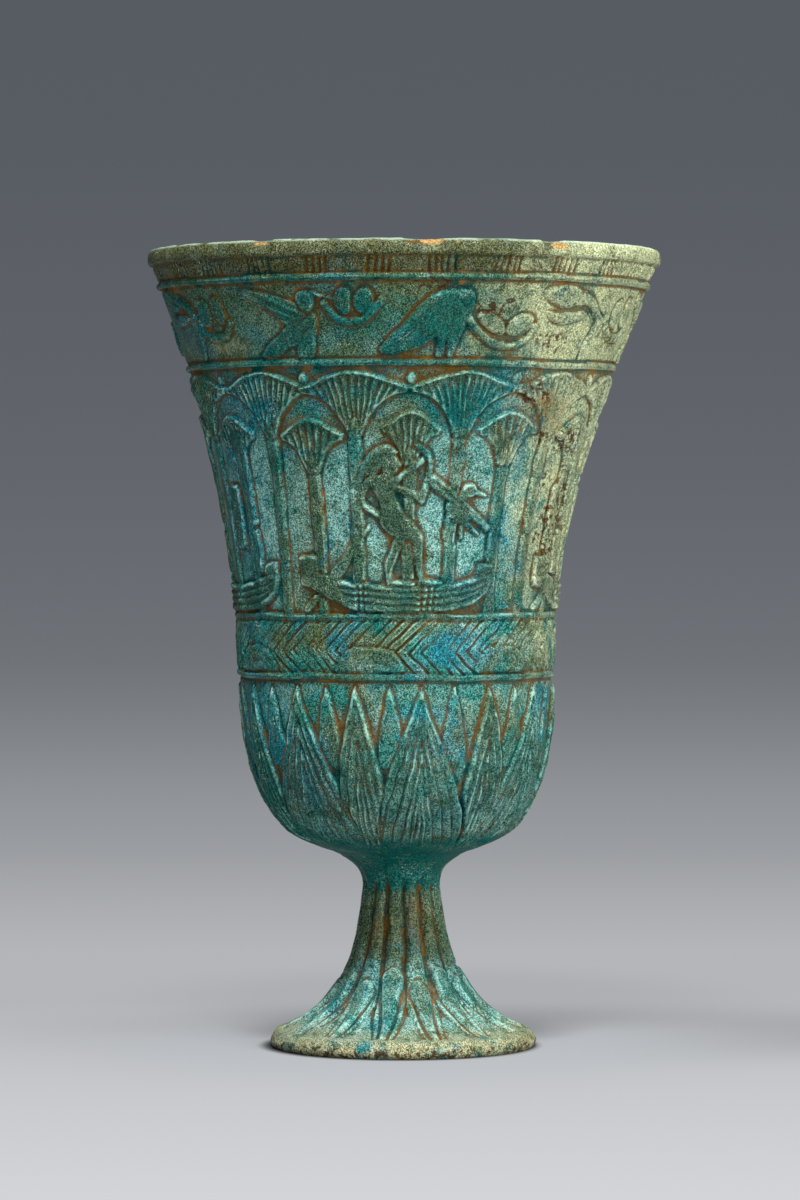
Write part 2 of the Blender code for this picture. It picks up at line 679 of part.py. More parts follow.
def build_chalice():
    """Make the three pieces, join their relief to them and cut the flutes."""
    clear_scene()
    pieces = new_collection("faience_chalice")
    tools = new_collection("relief_tools")
    glaze = finish("teal_glaze", (0.10, 0.27, 0.26), 0.55)
    foot_glaze = finish("green_glaze", (0.13, 0.27, 0.24), 0.6)
    slip = finish("faience_slip", (0.42, 0.33, 0.20), 0.85)

    cup = turned("cup", cup_outline(), pieces, glaze)
    combine(cup, relief_ring("calyx_leaves", CALYX_CURVE, leaf_rows(), tools), "UNION")
    combine(cup, relief_ring("water_strokes", WATER_CURVE, water_rows(), tools), "UNION")
    combine(cup, relief_ring("papyrus_thicket", MARSH_CURVE, fan_rows(), tools), "UNION")
    combine(cup, rods("boat_hulls", boat_paths(), BOAT_RADIUS, tools), "UNION")
    combine(cup, plates("boatmen", MARSH_CURVE, boatmen(), RELIEF_TOP + BOAT_PROUD, tools), "UNION")
    combine(cup, rods("limbs", limb_paths(), LIMB_RADIUS, tools), "UNION")
    combine(cup, plates("birds", BIRD_CURVE, birds(), RELIEF_HEIGHT, tools), "UNION")
    combine(cup, plates("nests", BIRD_CURVE, nests(), RELIEF_HEIGHT, tools), "UNION")

    foot = turned("foot", foot_outline(), pieces, foot_glaze)
    combine(foot, relief_ring("foot_petals", FOOT_CURVE, petal_rows(), tools), "UNION")
    combine(foot, rods("flute_grooves", flute_paths(), FLUTE_RADIUS, tools), "DIFFERENCE")

    turned("luting_slip", slip_outline(), pieces, slip)


build_chalice()
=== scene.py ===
"""Faience chalice: carved relief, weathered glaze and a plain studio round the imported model."""

import math

import bpy
import numpy as np
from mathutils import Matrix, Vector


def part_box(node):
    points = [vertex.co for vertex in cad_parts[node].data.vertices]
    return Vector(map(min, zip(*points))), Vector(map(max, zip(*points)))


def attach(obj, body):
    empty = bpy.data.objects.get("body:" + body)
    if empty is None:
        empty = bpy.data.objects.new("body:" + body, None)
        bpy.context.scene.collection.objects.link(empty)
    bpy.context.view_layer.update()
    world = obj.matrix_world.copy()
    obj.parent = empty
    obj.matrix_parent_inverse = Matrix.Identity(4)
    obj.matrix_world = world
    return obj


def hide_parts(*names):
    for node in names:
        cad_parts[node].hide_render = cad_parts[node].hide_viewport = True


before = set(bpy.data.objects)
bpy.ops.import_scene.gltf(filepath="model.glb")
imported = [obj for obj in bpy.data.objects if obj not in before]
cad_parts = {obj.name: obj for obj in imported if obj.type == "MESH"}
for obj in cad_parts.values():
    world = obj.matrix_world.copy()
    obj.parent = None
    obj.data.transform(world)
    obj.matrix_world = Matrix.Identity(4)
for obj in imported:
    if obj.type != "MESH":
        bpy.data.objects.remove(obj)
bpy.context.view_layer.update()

MM = 0.001
TAU = 2 * math.pi

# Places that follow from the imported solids, in millimetres
RIM_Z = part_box("cup")[1].z / MM
LIP_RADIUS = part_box("cup")[1].x / MM
CUP_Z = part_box("cup")[0].z / MM
FOOT_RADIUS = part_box("foot")[1].x / MM
SLIP_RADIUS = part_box("luting_slip")[1].x / MM
SLIP_LOW_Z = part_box("luting_slip")[0].z / MM
SLIP_TOP_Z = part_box("luting_slip")[1].z / MM

# Register borders from the joint to the lip, as (radius, height) on the plain wall
COLLAR = (SLIP_RADIUS + 1.9, CUP_Z - 0.1)
CALYX_TOP = (28.4, 68.2)
WATER_TOP = (28.8, 78.9)
MARSH_TOP = (38.7, 123.6)
BIRD_TOP = (44.45, 138.4)
TICK_BEND = (45.0, 140.1)
LIP_LOW = (45.95, 141.7)

# Heights where a register is parted into two pieces, each of a handy size
MARSH_SPLIT_Z = 101.5
CALYX_SPLIT_Z = 52.0

# Lip, wall and floor of the cup
LIP_HEIGHT = 1.7
WALL = 3.2
FLOOR_Z = 44.0

# Stem and foot
STEM_NECK = (7.05, 29.2)
FOOT_BROW = (FOOT_RADIUS - 1.0, 3.0)
FOOT_TOP_Z = 34.6
FOOT_HOLLOW_RADIUS = FOOT_RADIUS - 5.4
FOOT_HOLLOW_DEPTH = 16.0

# Radius at which each register's drawing is laid out flat
MARSH_SHEET = 34.0
BIRD_SHEET = 43.0
WATER_SHEET = 28.7
CALYX_SHEET = 27.0
FOOT_SHEET = 14.0

# Step of the mesh, points to a span of a smooth curve, and a distance at which no cut is felt
STEP = 0.26
SPAN_STEPS = 6
FAR = 9.0

# Carved edges: gain of raised shapes, gain and width of the cut round them, and the ridges' section
RISE_GAIN = 1.35
MOAT_GAIN = 1.5
MOAT_WIDTH = 0.36
RIDGE_WIDTH = 0.58
RIDGE_HEIGHT = 0.55

# Blur in mesh steps and full measure of what the glaze reads from the relief, and the angle of sharp edges
HOLLOW_BLUR = 5.0
HOLLOW_DEPTH = 0.36
CREST_BLUR = 1.6
CREST_HEIGHT = 0.13
LIFT_BLUR = 2.6
LIFT_HEIGHT = 0.55
SHARP_DEGREES = 75

# Ridges between the registers as (height, seed of the wander, size of the wander)
CALYX_RIDGE = (CALYX_TOP[1], 8, 0.2)
WATER_RIDGE = (WATER_TOP[1], 4, 0.16)
MARSH_RIDGE = (MARSH_TOP[1], 3, 0.12)
BIRD_RIDGE = (BIRD_TOP[1], 5, 0.08)


# Curves of the outline


def curve(corners, count):
    """Cubic curve with four corners: the corners weighted by the Bernstein terms of a share 0 to 1."""
    share = np.linspace(0, 1, count)[:, None]
    a, b, c, d = (np.array(corner, float) for corner in corners)
    back = 1 - share
    return back**3 * a + 3 * back**2 * share * b + 3 * back * share**2 * c + share**3 * d


def pulled(point, degrees, length):
    """The point moved by a length in a direction of the outline's plane."""
    angle = math.radians(degrees)
    return (point[0] + length * math.cos(angle), point[1] + length * math.sin(angle))


def evenly(points, step):
    """The same polyline with its points a step apart along its length."""
    points = np.asarray(points, float)
    run = np.concatenate([[0], np.cumsum(np.hypot(*np.diff(points, axis=0).T))])
    count = max(int(round(run[-1] / step)), 2)
    at = np.linspace(0, run[-1], count + 1)
    return np.stack([np.interp(at, run, points[:, i]) for i in (0, 1)], axis=1)


CALYX_CURVE = curve(
    (COLLAR, pulled(COLLAR, 14, 14.0), pulled(CALYX_TOP, 88, -14.0), CALYX_TOP), 200)
WATER_CURVE = np.array([CALYX_TOP, (28.75, 73.5), WATER_TOP])
MARSH_CURVE = curve(
    (WATER_TOP, pulled(WATER_TOP, 85, 17.0), pulled(MARSH_TOP, 72, -17.3), MARSH_TOP), 200)
BIRD_CURVE = curve(
    (MARSH_TOP, pulled(MARSH_TOP, 70, 5.0), pulled(BIRD_TOP, 67.5, -5.0), BIRD_TOP), 60)
FOOT_CURVE = curve(
    (FOOT_BROW, pulled(FOOT_BROW, 166, 13.8), pulled(STEM_NECK, 97, -9.9), STEM_NECK), 200)
COLLAR_CURVE = curve(
    (STEM_NECK, pulled(STEM_NECK, 90, 3.0), pulled((SLIP_RADIUS, FOOT_TOP_Z), 33, -3.0),
     (SLIP_RADIUS, FOOT_TOP_Z)), 60)


def lean(z):
    """Sideways drift of the hand-made axis: the waist sits to the left, rim and foot to the right."""
    heights = (0, 29, 45, 68, 92, 125, 145)
    drift = (0.45, 0.25, -0.25, -0.8, -0.7, 0.2, 0.8)
    return np.interp(z, heights, drift)


# Drawing on a sheet: distances to shapes, and what they do to the carved height


def rounded(points, closed=False):
    """Smooth curve through points: each span is a Catmull-Rom cubic from its neighbours."""
    p = np.asarray(points, float)
    if closed:
        p = np.concatenate([p[-1:], p, p[:2]])
    else:
        p = np.concatenate([2 * p[:1] - p[1:2], p, 2 * p[-1:] - p[-2:-1]])
    share = (np.arange(SPAN_STEPS) / SPAN_STEPS)[:, None, None]
    a, b, c, d = p[:-3], p[1:-2], p[2:-1], p[3:]
    spans = 0.5 * (2 * b + (c - a) * share + (2 * a - 5 * b + 4 * c - d) * share**2
                   + (3 * b - a - 3 * c + d) * share**3)
    path = spans.transpose(1, 0, 2).reshape(-1, 2)
    return path if closed else np.concatenate([path, p[-2:-1]])


def to_segment(x, z, a, b):
    """Distance to a straight piece from a to b, and the share along it of the nearest point."""
    run, rise = b[0] - a[0], b[1] - a[1]
    length = max(run * run + rise * rise, 1e-9)
    share = np.clip(((x - a[0]) * run + (z - a[1]) * rise) / length, 0, 1)
    return np.hypot(x - a[0] - share * run, z - a[1] - share * rise), share


def to_line(x, z, points):
    """Distance to an open polyline: the least of the distances to its pieces."""
    return np.min([to_segment(x, z, a, b)[0] for a, b in zip(points[:-1], points[1:])], axis=0)


def to_band(x, z, points, first, last):
    """Signed distance to a tapering band: distance to its middle line less half its width there."""
    points = rounded(points) if len(points) > 2 else np.asarray(points, float)
    widths = np.linspace(first, last, len(points)) / 2
    found = np.full(x.shape, 1e9)
    for i in range(len(points) - 1):
        away, share = to_segment(x, z, points[i], points[i + 1])
        found = np.minimum(found, away - widths[i] - share * (widths[i + 1] - widths[i]))
    return found


def to_patch(x, z, points):
    """Signed distance to a closed outline: negative where a ray to the right crosses it oddly."""
    ring = np.concatenate([points, points[:1]])
    inside = np.zeros(x.shape, bool)
    for (ax, az), (bx, bz) in zip(ring[:-1], ring[1:]):
        crosses = (az > z) != (bz > z)
        inside ^= crosses & (x < (bx - ax) * (z - az) / (bz - az + 1e-12) + ax)
    return np.where(inside, -1, 1) * to_line(x, z, ring)


def to_blob(x, z, points):
    """Signed distance to a smooth closed outline through points."""
    return to_patch(x, z, rounded(points, closed=True))


def to_oval(x, z, middle, across, up, turn=0.0):
    """About the signed distance to an ellipse turned by some degrees."""
    c, s = math.cos(math.radians(turn)), math.sin(math.radians(turn))
    u = ((x - middle[0]) * c + (z - middle[1]) * s) / across
    v = ((z - middle[1]) * c - (x - middle[0]) * s) / up
    return (np.hypot(u, v) - 1) * min(across, up)


def wrapped(angle):
    """The same direction, as an angle of at most half a turn either way."""
    return (angle + math.pi) % TAU - math.pi


def bell(away, width):
    """A bell curve: 1 at no distance, falling off over a width."""
    return np.exp(-((away / width) ** 2))


def ripple(run, pitch):
    """A wave that goes from 0 to 1 and back once over each pitch of a run."""
    return 0.5 - 0.5 * np.cos(run * TAU / pitch)


def depth_in(away, edge):
    """How far inside an outline a place is: 0 at the outline, 1 from an edge's width inwards."""
    return np.clip(-away / edge, 0, 1)


def shoulder(away, edge):
    """A quarter-round edge: the rise of a circle over an edge's width, and 1 inside it."""
    return np.sqrt(1 - (1 - depth_in(away, edge)) ** 2)


def emboss(height, away, top, edge, moat=0.12):
    """Raise a shape: a quarter-round edge up to its top, with a narrow shallow cut all round it."""
    rise = RISE_GAIN * top * shoulder(away, edge)
    cut = height - MOAT_GAIN * moat * bell(np.maximum(away, 0), MOAT_WIDTH)
    return np.where(away < 0, np.maximum(rise, height * 0.6), cut)


def score(height, away, depth, width, where=True):
    """Cut a line: a rounded groove where the distance to it is small, and where it is wanted."""
    return height - depth * bell(np.where(where, away, FAR), width)


class Sheet:
    """A register laid out flat: columns of angle, rows of height, and the carved height on them."""

    def __init__(self, outline, radius, columns):
        """Start with an uncarved sheet on an outline, and the unevenness of the carver's hand."""
        self.outline = outline
        self.radius = radius
        self.angle = np.arange(columns) / columns * TAU - math.pi
        self.z = outline[:, 1]
        self.height = np.zeros((len(outline), columns))
        self.sway = uneven(self, seed=41, size=0.16)
        self.rise = uneven(self, seed=42, size=0.14)

    def carve(self, centre, half, motif):
        """Apply a motif to the columns round a place on the sheet, in the motif's own coordinates."""
        turn = wrapped(self.angle - centre / self.radius) * self.radius
        near = np.abs(turn) <= half
        x, z = np.meshgrid(turn[near], self.z)
        x = x + self.sway[:, near]
        z = z + self.rise[:, near]
        self.height[:, near] = motif(x, z, self.height[:, near])

    def age(self):
        """Wear the carving: soften it a little, and take some of its height off in places."""
        wear = np.clip(0.95 + uneven(self, seed=43, size=0.14), 0.72, 1.05)
        self.height = blurred(self.height, 0.5) * wear

    def ridge(self, place, seed, size):
        """Lay a narrow rounded ridge round the vessel, which wanders a little in height."""
        away = (self.z[:, None] - place - wander(self.angle, seed, size)) / RIDGE_WIDTH
        bump = RIDGE_HEIGHT * np.sqrt(np.clip(1 - away**2, 0, 1))
        groove = 0.2 * bell(np.abs(away) - 1.4, 0.4)
        self.height = np.where(np.abs(away) < 1, bump, self.height - groove)


# Motifs of the marsh


def papyrus(top, half, rise, neck_z, neck, foot_z, drift, count):
    """A papyrus head: thin domed rim, sides that arch in to the neck, rays, two sepals, and a stem."""
    bend = 2.6
    root = 4.5

    def motif(x, z, height):
        """Carve the stem, the head and its lines round the head's middle."""
        share = np.linspace(-1, 1, 25)
        dome = (1 - np.cos(share * bend)) / (1 - math.cos(bend))
        crown = np.stack([share * half, top - rise * dome], 1)
        fall = top - rise - 0.9 - neck_z
        right = curve(((half, neck_z + fall), (half * 0.55, neck_z + fall * 0.97),
                       (neck + 0.6, neck_z + fall * 0.42), (neck, neck_z)), 16)
        outline = np.concatenate([crown, right, right[::-1] * (-1, 1)])
        stem = to_band(x, z, [(0, neck_z + 0.6), (drift, foot_z)], neck * 2, neck * 2)
        height = emboss(height, stem, 0.42, 0.5, 0.16)
        away = to_patch(x, z, outline)
        height = emboss(height, away, 0.52, 0.4, 0.2)
        inside = np.clip(-away / 0.4 - 0.5, 0, 1) * np.clip((z - neck_z) / 1.2, 0, 1)
        sepal = neck * 0.95 * np.clip(1 - (z - neck_z) / (0.42 * (top - neck_z)), 0, 1)
        inside = inside * (np.abs(x) > sepal)
        spread = np.arctan2(x, z - neck_z + root)
        limit = math.atan2(half, top - rise - neck_z + root)
        wave = np.cos(spread / limit * math.pi * count)
        height = height - inside * 0.6 * (0.5 - 0.5 * wave) ** 1.6
        height = score(height, np.abs(x) - sepal, 0.3, 0.22, (sepal > 0) & (z > neck_z))
        height = np.maximum(height, 0.82 - 2.4 * np.maximum(to_line(x, z, crown) - 0.1, 0))
        return score(height, np.abs(z - neck_z + 0.3), 0.26, 0.22, away < 0.3)
    return motif


def bead(x, z, height):
    """A small bud between two papyrus heads."""
    return emboss(height, to_oval(x, z, (0, 121.0), 0.75, 1.1), 0.5, 0.7)


def boatman(x, z, height):
    """A man striding in a boat: long wig, plain face, slim torso, bent arms, legs, and an oar behind."""
    oar = to_band(x, z, [(-5.4, 94.8), (-8.4, 91.6), (-10.2, 89.0), (-12.4, 86.2)], 0.8, 2.4)
    height = emboss(height, oar, 0.42, 0.4)
    torso = to_blob(x, z, [
        (-5.8, 103.2), (-3.0, 104.2), (-0.3, 103.7), (-0.3, 102.0), (-0.4, 100.4), (0.3, 98.9),
        (1.3, 97.3), (3.0, 95.8), (4.7, 94.0), (5.2, 92.4), (4.2, 91.6), (2.7, 92.2), (0.8, 92.5),
        (-1.0, 93.3), (-2.4, 94.4), (-3.2, 95.9), (-3.1, 97.4), (-3.3, 99.2), (-4.3, 101.0)])
    wig = to_blob(x, z, [
        (-8.3, 101.6), (-7.3, 104.4), (-6.2, 106.9), (-4.4, 108.6), (-2.2, 109.4), (-0.6, 108.8),
        (0.2, 107.8), (-1.4, 107.4), (-2.6, 106.2), (-3.2, 104.6), (-4.4, 103.5), (-5.8, 103.7),
        (-7.0, 102.0)])
    near_arm = to_band(x, z, [(-1.6, 102.4), (2.0, 100.9), (4.5, 99.7)], 1.7, 1.3)
    limbs = (
        ([(-5.4, 103.0), (-6.6, 101.0), (-6.3, 99.0), (-4.0, 97.3), (-2.8, 97.0)], 1.5, 1.2),
        ([(1.0, 93.2), (-0.3, 90.4), (-1.2, 88.0), (-1.4, 85.2)], 2.7, 1.5),
        ([(-1.5, 84.9), (1.0, 85.0), (3.6, 84.8)], 1.3, 0.9),
        ([(4.2, 92.8), (4.4, 90.0), (4.6, 87.5), (5.0, 85.3)], 2.2, 1.4),
        ([(4.8, 85.0), (7.0, 85.1), (9.2, 84.9)], 1.4, 0.9),
        ([(-0.2, 103.2), (2.0, 104.9), (4.3, 106.8)], 1.4, 1.2),
        ([(4.5, 99.7), (5.0, 102.0), (5.7, 104.8), (5.7, 106.4), (4.9, 107.9), (3.3, 109.4)], 1.4, 1.2),
        ([(-2.0, 104.4), (-1.8, 103.4)], 2.0, 2.2),
    )
    head = to_oval(x, z, (-1.4, 106.0), 1.75, 2.1)
    nose = to_oval(x, z, (0.3, 105.9), 0.4, 0.6)
    man = np.minimum.reduce([torso, wig, near_arm, head, nose, *(to_band(x, z, *limb) for limb in limbs)])
    height = emboss(height, man, 0.52, 0.55, 0.28)
    height = height + 0.14 * depth_in(torso, 1.4) ** 0.5
    height = score(height, np.abs(near_arm), 0.14, 0.22, torso < 0)
    belt = to_line(x, z, [(-2.6, 96.9), (0.0, 96.3), (1.2, 97.0)])
    height = score(height, belt, 0.14, 0.22, man < 0)
    height = score(height, np.abs(wig), 0.2, 0.22, man < 0)
    strand = np.hypot(x + 2.2, z - 103.6)
    return height - 0.2 * depth_in(wig, 0.4) * ripple(strand, 1.15)


def held_bird(x, z, height):
    """A water bird held by its wing: long double wing, tail, hanging feathers, round head and bill."""
    wing = [(6.2, 103.2), (9.0, 101.0), (12.0, 99.3), (14.5, 97.5), (18.3, 94.8)]
    vane = to_band(x, z, wing, 2.3, 1.5)
    body = to_blob(x, z, [
        (9.2, 99.0), (12.0, 99.8), (14.6, 98.4), (15.0, 96.6), (13.0, 95.4), (10.2, 96.2)])
    strips = (
        ([(10.2, 97.2), (9.4, 93.2)], 1.3, 0.8), ([(11.6, 97.0), (11.2, 92.6)], 1.2, 0.8),
        ([(12.6, 96.6), (13.0, 93.2)], 1.1, 0.7), ([(12.8, 96.2), (16.6, 93.5)], 1.3, 0.7),
        ([(12.2, 99.2), (12.8, 100.8)], 1.8, 1.6), ([(14.4, 101.2), (17.1, 100.4)], 1.5, 0.5),
    )
    head = to_oval(x, z, (13.6, 101.3), 1.65, 1.25)
    bird = np.minimum.reduce([body, vane, head, *(to_band(x, z, *strip) for strip in strips)])
    height = emboss(height, bird, 0.5, 0.5, 0.28)
    height = score(height, to_line(x, z, rounded(wing)[:-3]), 0.3, 0.24)
    height = score(height, np.abs(vane), 0.2, 0.22, bird < 0)
    return score(height, np.abs(to_oval(x, z, (13.8, 101.4), 0.55, 0.42)), 0.24, 0.22)


def boat(x, z, height):
    """A papyrus boat: long hull with raised ends, planks, lashings, stern block and steering oar."""
    hull = np.array([
        (-20.6, 86.5), (-16.2, 86.7), (-12.5, 86.0), (-9, 85.1), (-5, 84.6), (0, 84.5), (6, 84.6),
        (12, 85.0), (16.4, 86.0), (17.2, 88.2), (20.4, 88.6), (20.7, 85.4), (19.7, 83.0), (16.6, 81.1),
        (12, 80.0), (6, 79.5), (-1, 79.4), (-7, 79.7), (-11, 80.8), (-14.6, 82.6), (-18, 84.0),
        (-20.4, 84.4)])
    oar = to_band(x, z, [(-13.4, 85.8), (-16.2, 83.0), (-19.2, 80.2)], 1.1, 1.6)
    height = emboss(height, oar, 0.4, 0.4, 0.15)
    height = emboss(height, to_patch(x, z, hull), 0.58, 0.5, 0.24)
    block = np.array([(-20.5, 86.2), (-20.5, 89.7), (-16.4, 89.9), (-16.2, 86.2)])
    height = emboss(height, to_patch(x, z, block), 0.5, 0.4, 0.2)
    for lift, stern, bow in ((0.0, -12, 19.0), (-1.2, -11, 18.8), (-2.4, -9.5, 17.4)):
        plank = np.array([(stern, 84.3), (-4, 83.4), (6, 83.4), (13, 83.9), (bow, 85.1)]) + (0, lift)
        height = score(height, to_line(x, z, rounded(plank)), 0.46, 0.24)
    for place in (-7.8, -6.7, 5.2, 6.4, 7.6):
        height = score(height, to_line(x, z, [(place, 79.9), (place, 84.4)]), 0.5, 0.24)
    return score(height, to_line(x, z, [(16.6, 86.0), (20.4, 86.4)]), 0.25, 0.24)


def sheaf(x, z, height):
    """Bundles of cut stalks standing in a boat."""
    bundles = ((95.2, 112.0, -1.9, 1.7), (86.4, 94.4, -2.4, 2.0), (91.0, 102.5, -7.4, -3.2))
    for low, high, left, right in bundles:
        box = np.array([(left + 0.3, low), (left, high - 1.0), (left + 0.9, high), (right - 0.9, high),
                        (right, high - 1.0), (right - 0.3, low)])
        away = to_patch(x, z, box)
        height = emboss(height, away, 0.5, 0.5, 0.2)
        height = height - 0.22 * (depth_in(away, 0.6) * ripple(x - left, 1.25))
    return height


# Motifs of the bird frieze


def nest(bowl, eggs):
    """A nest: a flat band bent up at both ends, and eggs in it as (across, up, half widths, turn)."""
    def motif(x, z, height):
        """Carve the eggs, each with a line inside its edge, and the band in front of them."""
        for place, level, across, up, turn in eggs:
            egg = to_oval(x, z, (place, level), across, up, turn)
            height = emboss(height, egg, 0.36, 0.45, 0.28)
            height = score(height, np.abs(egg + 0.6), 0.14, 0.2)
        return emboss(height, to_band(x, z, bowl, 1.4, 1.4), 0.42, 0.4, 0.2)
    return motif


upright_nest = nest([(-5.2, 130.6), (-3.2, 129.1), (0.0, 128.5), (3.0, 129.0), (4.8, 130.8)],
                    [(-2.2, 132.7, 2.0, 2.5, 14), (2.3, 133.1, 1.9, 2.5, 14)])
deep_nest = nest([(-5.0, 133.8), (-3.4, 131.8), (-0.8, 130.8), (2.2, 131.2), (4.4, 133.2), (5.4, 134.6)],
                 [(-1.4, 134.2, 1.7, 2.3, -5), (2.4, 134.4, 1.7, 2.3, -8)])
tipped_nest = nest([(-6.2, 131.5), (-5.0, 129.7), (-2.6, 128.0), (0.4, 126.8), (3.4, 126.6), (5.8, 127.8),
                    (7.2, 130.0)],
                   [(-1.8, 130.5, 3.4, 1.4, -28), (4.0, 130.3, 3.0, 1.7, 25)])


def rising_bird(x, z, height):
    """A bird that lifts a barred wing: barred body with spread tail and leg, bill and round head."""
    body = to_blob(x, z, [
        (-0.2, 130.4), (-1.8, 128.5), (-5.2, 126.6), (-6.8, 124.7), (-2.8, 124.6), (-0.6, 126.2),
        (1.4, 126.8), (1.6, 124.6), (4.4, 124.6), (5.6, 128.0), (6.4, 131.0), (5.0, 132.8), (2.4, 131.8)])
    height = emboss(height, body, 0.42, 0.7, 0.2)
    height = height - 0.34 * depth_in(body, 0.5) * ripple(x * 0.6 - z * 0.8, 1.7)
    wing = to_blob(x, z, [
        (-9.2, 136.8), (-5.0, 136.2), (-1.0, 135.2), (2.8, 133.8), (4.0, 132.2), (1.6, 130.9),
        (-0.4, 130.2), (-2.2, 132.0), (-5.0, 133.4), (-8.0, 134.8)])
    height = emboss(height, wing, 0.46, 0.6, 0.2)
    height = height - 0.45 * (depth_in(wing, 0.4) * ripple(x * 0.42 + z * 0.9, 1.35))
    height = emboss(height, to_band(x, z, [(5.6, 135.6), (9.6, 134.6)], 1.0, 0.5), 0.36, 0.35, 0.18)
    height = emboss(height, to_oval(x, z, (4.3, 134.3), 1.75, 1.8), 0.5, 0.6, 0.24)
    return score(height, np.abs(to_oval(x, z, (4.5, 134.5), 0.7, 0.6)), 0.2, 0.22)


def brooding_bird(x, z, height):
    """A hunched bird: a great drooping wing with long feathers, two legs, and a line on its shoulder."""
    wing = to_blob(x, z, [
        (-8.4, 125.4), (-6.2, 128.4), (-4.2, 130.1), (-2.2, 132.4), (-0.2, 134.6), (2.8, 136.1),
        (6.8, 136.3), (8.6, 135.1), (8.6, 133.0), (7.9, 131.0), (7.2, 129.0), (6.4, 127.0), (5.6, 124.7),
        (4.6, 124.7), (4.2, 127.4), (3.8, 124.7), (2.4, 124.7), (2.4, 127.8), (0.0, 126.6), (-4.0, 125.2)])
    height = emboss(height, wing, 0.48, 0.6, 0.24)
    spread = np.arctan2(x - 6.4, 139.5 - z)
    drop = depth_in(wing, 0.5) * np.clip((135.0 - z) / 1.5, 0, 1)
    height = height - 0.34 * drop * ripple(spread, 0.13) ** 1.5
    seam = rounded([(3.0, 134.0), (5.4, 134.4), (7.2, 133.0), (7.4, 130.6)])
    return score(height, to_line(x, z, seam), 0.26, 0.25)


def flying_bird(x, z, height):
    """A bird in flight: two broad swept wings, an outstretched neck and a leg."""
    high = [(-7.8, 136.6), (-6.6, 134.8), (-4.4, 133.8), (-1.6, 133.4), (1.0, 134.1), (3.6, 133.8),
            (2.4, 135.6), (-0.6, 137.0), (-4.0, 137.4)]
    low = [(-6.4, 132.6), (-4.0, 131.0), (-1.0, 130.6), (2.4, 131.2), (4.4, 132.4), (1.4, 132.9),
           (-2.4, 132.6)]
    for wing in (high, low):
        away = to_blob(x, z, wing)
        height = emboss(height, away, 0.42, 0.6, 0.2)
        height = height - 0.22 * depth_in(away, 0.4) * ripple(x * 0.3 + z, 1.4)
    neck = [(2.0, 135.4), (5.4, 134.0), (7.6, 132.2), (10.0, 131.6)]
    height = emboss(height, to_band(x, z, neck, 1.8, 1.0), 0.46, 0.45, 0.2)
    leg = [(8.6, 131.6), (7.0, 128.0), (6.2, 124.9)]
    return emboss(height, to_band(x, z, leg, 1.6, 1.0), 0.4, 0.4, 0.2)


# Registers


def wander(angle, seed, size):
    """A smooth closed wave round the vessel: a few harmonics with seeded phases."""
    draw = np.random.default_rng(seed)
    orders = np.array([2, 3, 5, 7, 11, 16])
    phases = draw.uniform(0, TAU, len(orders))
    weights = 1 / np.sqrt(orders)
    return size * (weights[:, None] * np.cos(orders[:, None] * angle + phases[:, None])).sum(0)


def uneven(sheet, seed, size):
    """Hand-made unevenness: a sum of seeded waves that close round the vessel and run on in height."""
    draw = np.random.default_rng(seed)
    total = np.zeros_like(sheet.height)
    for _ in range(40):
        order = int(draw.integers(3, 60))
        climb = draw.uniform(-1.4, 1.4)
        phase = draw.uniform(0, TAU)
        weight = 1 / math.sqrt(order * order / 900 + climb * climb + 0.12)
        total += weight * np.cos(order * sheet.angle[None] + climb * sheet.z[:, None] + phase)
    return size * total / 6


def marsh(outline):
    """Marsh scene: tall papyrus heads, small heads between them, boats with a man or sheaves."""
    sheet = Sheet(outline, MARSH_SHEET, MARSH_COLUMNS)
    pitch = TAU * MARSH_SHEET / TALL_HEADS
    for k in range(TALL_HEADS):
        place = FIRST_HEAD + k * pitch
        drift = TALL_DRIFT[k % len(TALL_DRIFT)]
        low = SMALL_TOPS[k % len(SMALL_TOPS)]
        half = SMALL_HALVES[k % len(SMALL_HALVES)]
        small = papyrus(low, half, rise=2.8, neck_z=low - 9.4, neck=STEM_HALF, foot_z=STEM_FOOT_Z,
                        drift=0.6, count=8)
        tall = papyrus(TALL_TOP, 8.9, rise=2.6, neck_z=110.6, neck=STEM_HALF, foot_z=STEM_FOOT_Z,
                       drift=-drift * 0.6, count=14)
        sheet.carve(place + pitch / 2 + 0.3, 12, small)
        sheet.carve(place + drift, 14, tall)
        sheet.carve(place + pitch / 2, 3, bead)
    for place in BOATS:
        sheet.carve(place, 24, boat)
    for place in BOATS_WITH_MAN:
        sheet.carve(place, 14, boatman)
        sheet.carve(place, 21, held_bird)
    for place in BOATS_WITH_SHEAVES:
        sheet.carve(place, 10, sheaf)
    sheet.age()
    sheet.ridge(*MARSH_RIDGE)
    sheet.ridge(*WATER_RIDGE)
    return sheet


def birds(outline):
    """Frieze of birds and nests between two ridges."""
    sheet = Sheet(outline, BIRD_SHEET, BIRD_COLUMNS)
    for place, motif in BIRD_ROW:
        sheet.carve(place, 13, motif)
    sheet.age()
    sheet.ridge(*MARSH_RIDGE)
    sheet.ridge(*BIRD_RIDGE)
    return sheet


def fish(x, z, height):
    """A fish in the water: arched back, gill, fin lines and a short cut for its eye."""
    away = to_blob(x, z, [(-6.0, 69.0), (-5.6, 71.4), (-3.4, 73.3), (0.4, 73.7), (3.4, 73.1), (5.4, 71.6),
                          (6.0, 69.2), (0.0, 68.9)])
    height = emboss(np.where(away < 0, 0.1, height), away, 0.36, 0.4, 0.24)
    for path in ([(-3.4, 69.2), (-2.9, 71.0), (-3.6, 73.2)], [(-2.2, 72.3), (0.8, 72.6), (4.6, 70.9)],
                 [(-4.8, 71.6), (-4.2, 71.7)], [(-1.6, 70.6), (1.4, 70.8), (3.6, 69.8)]):
        height = score(height, to_line(x, z, rounded(path)), 0.24, 0.24)
    return height


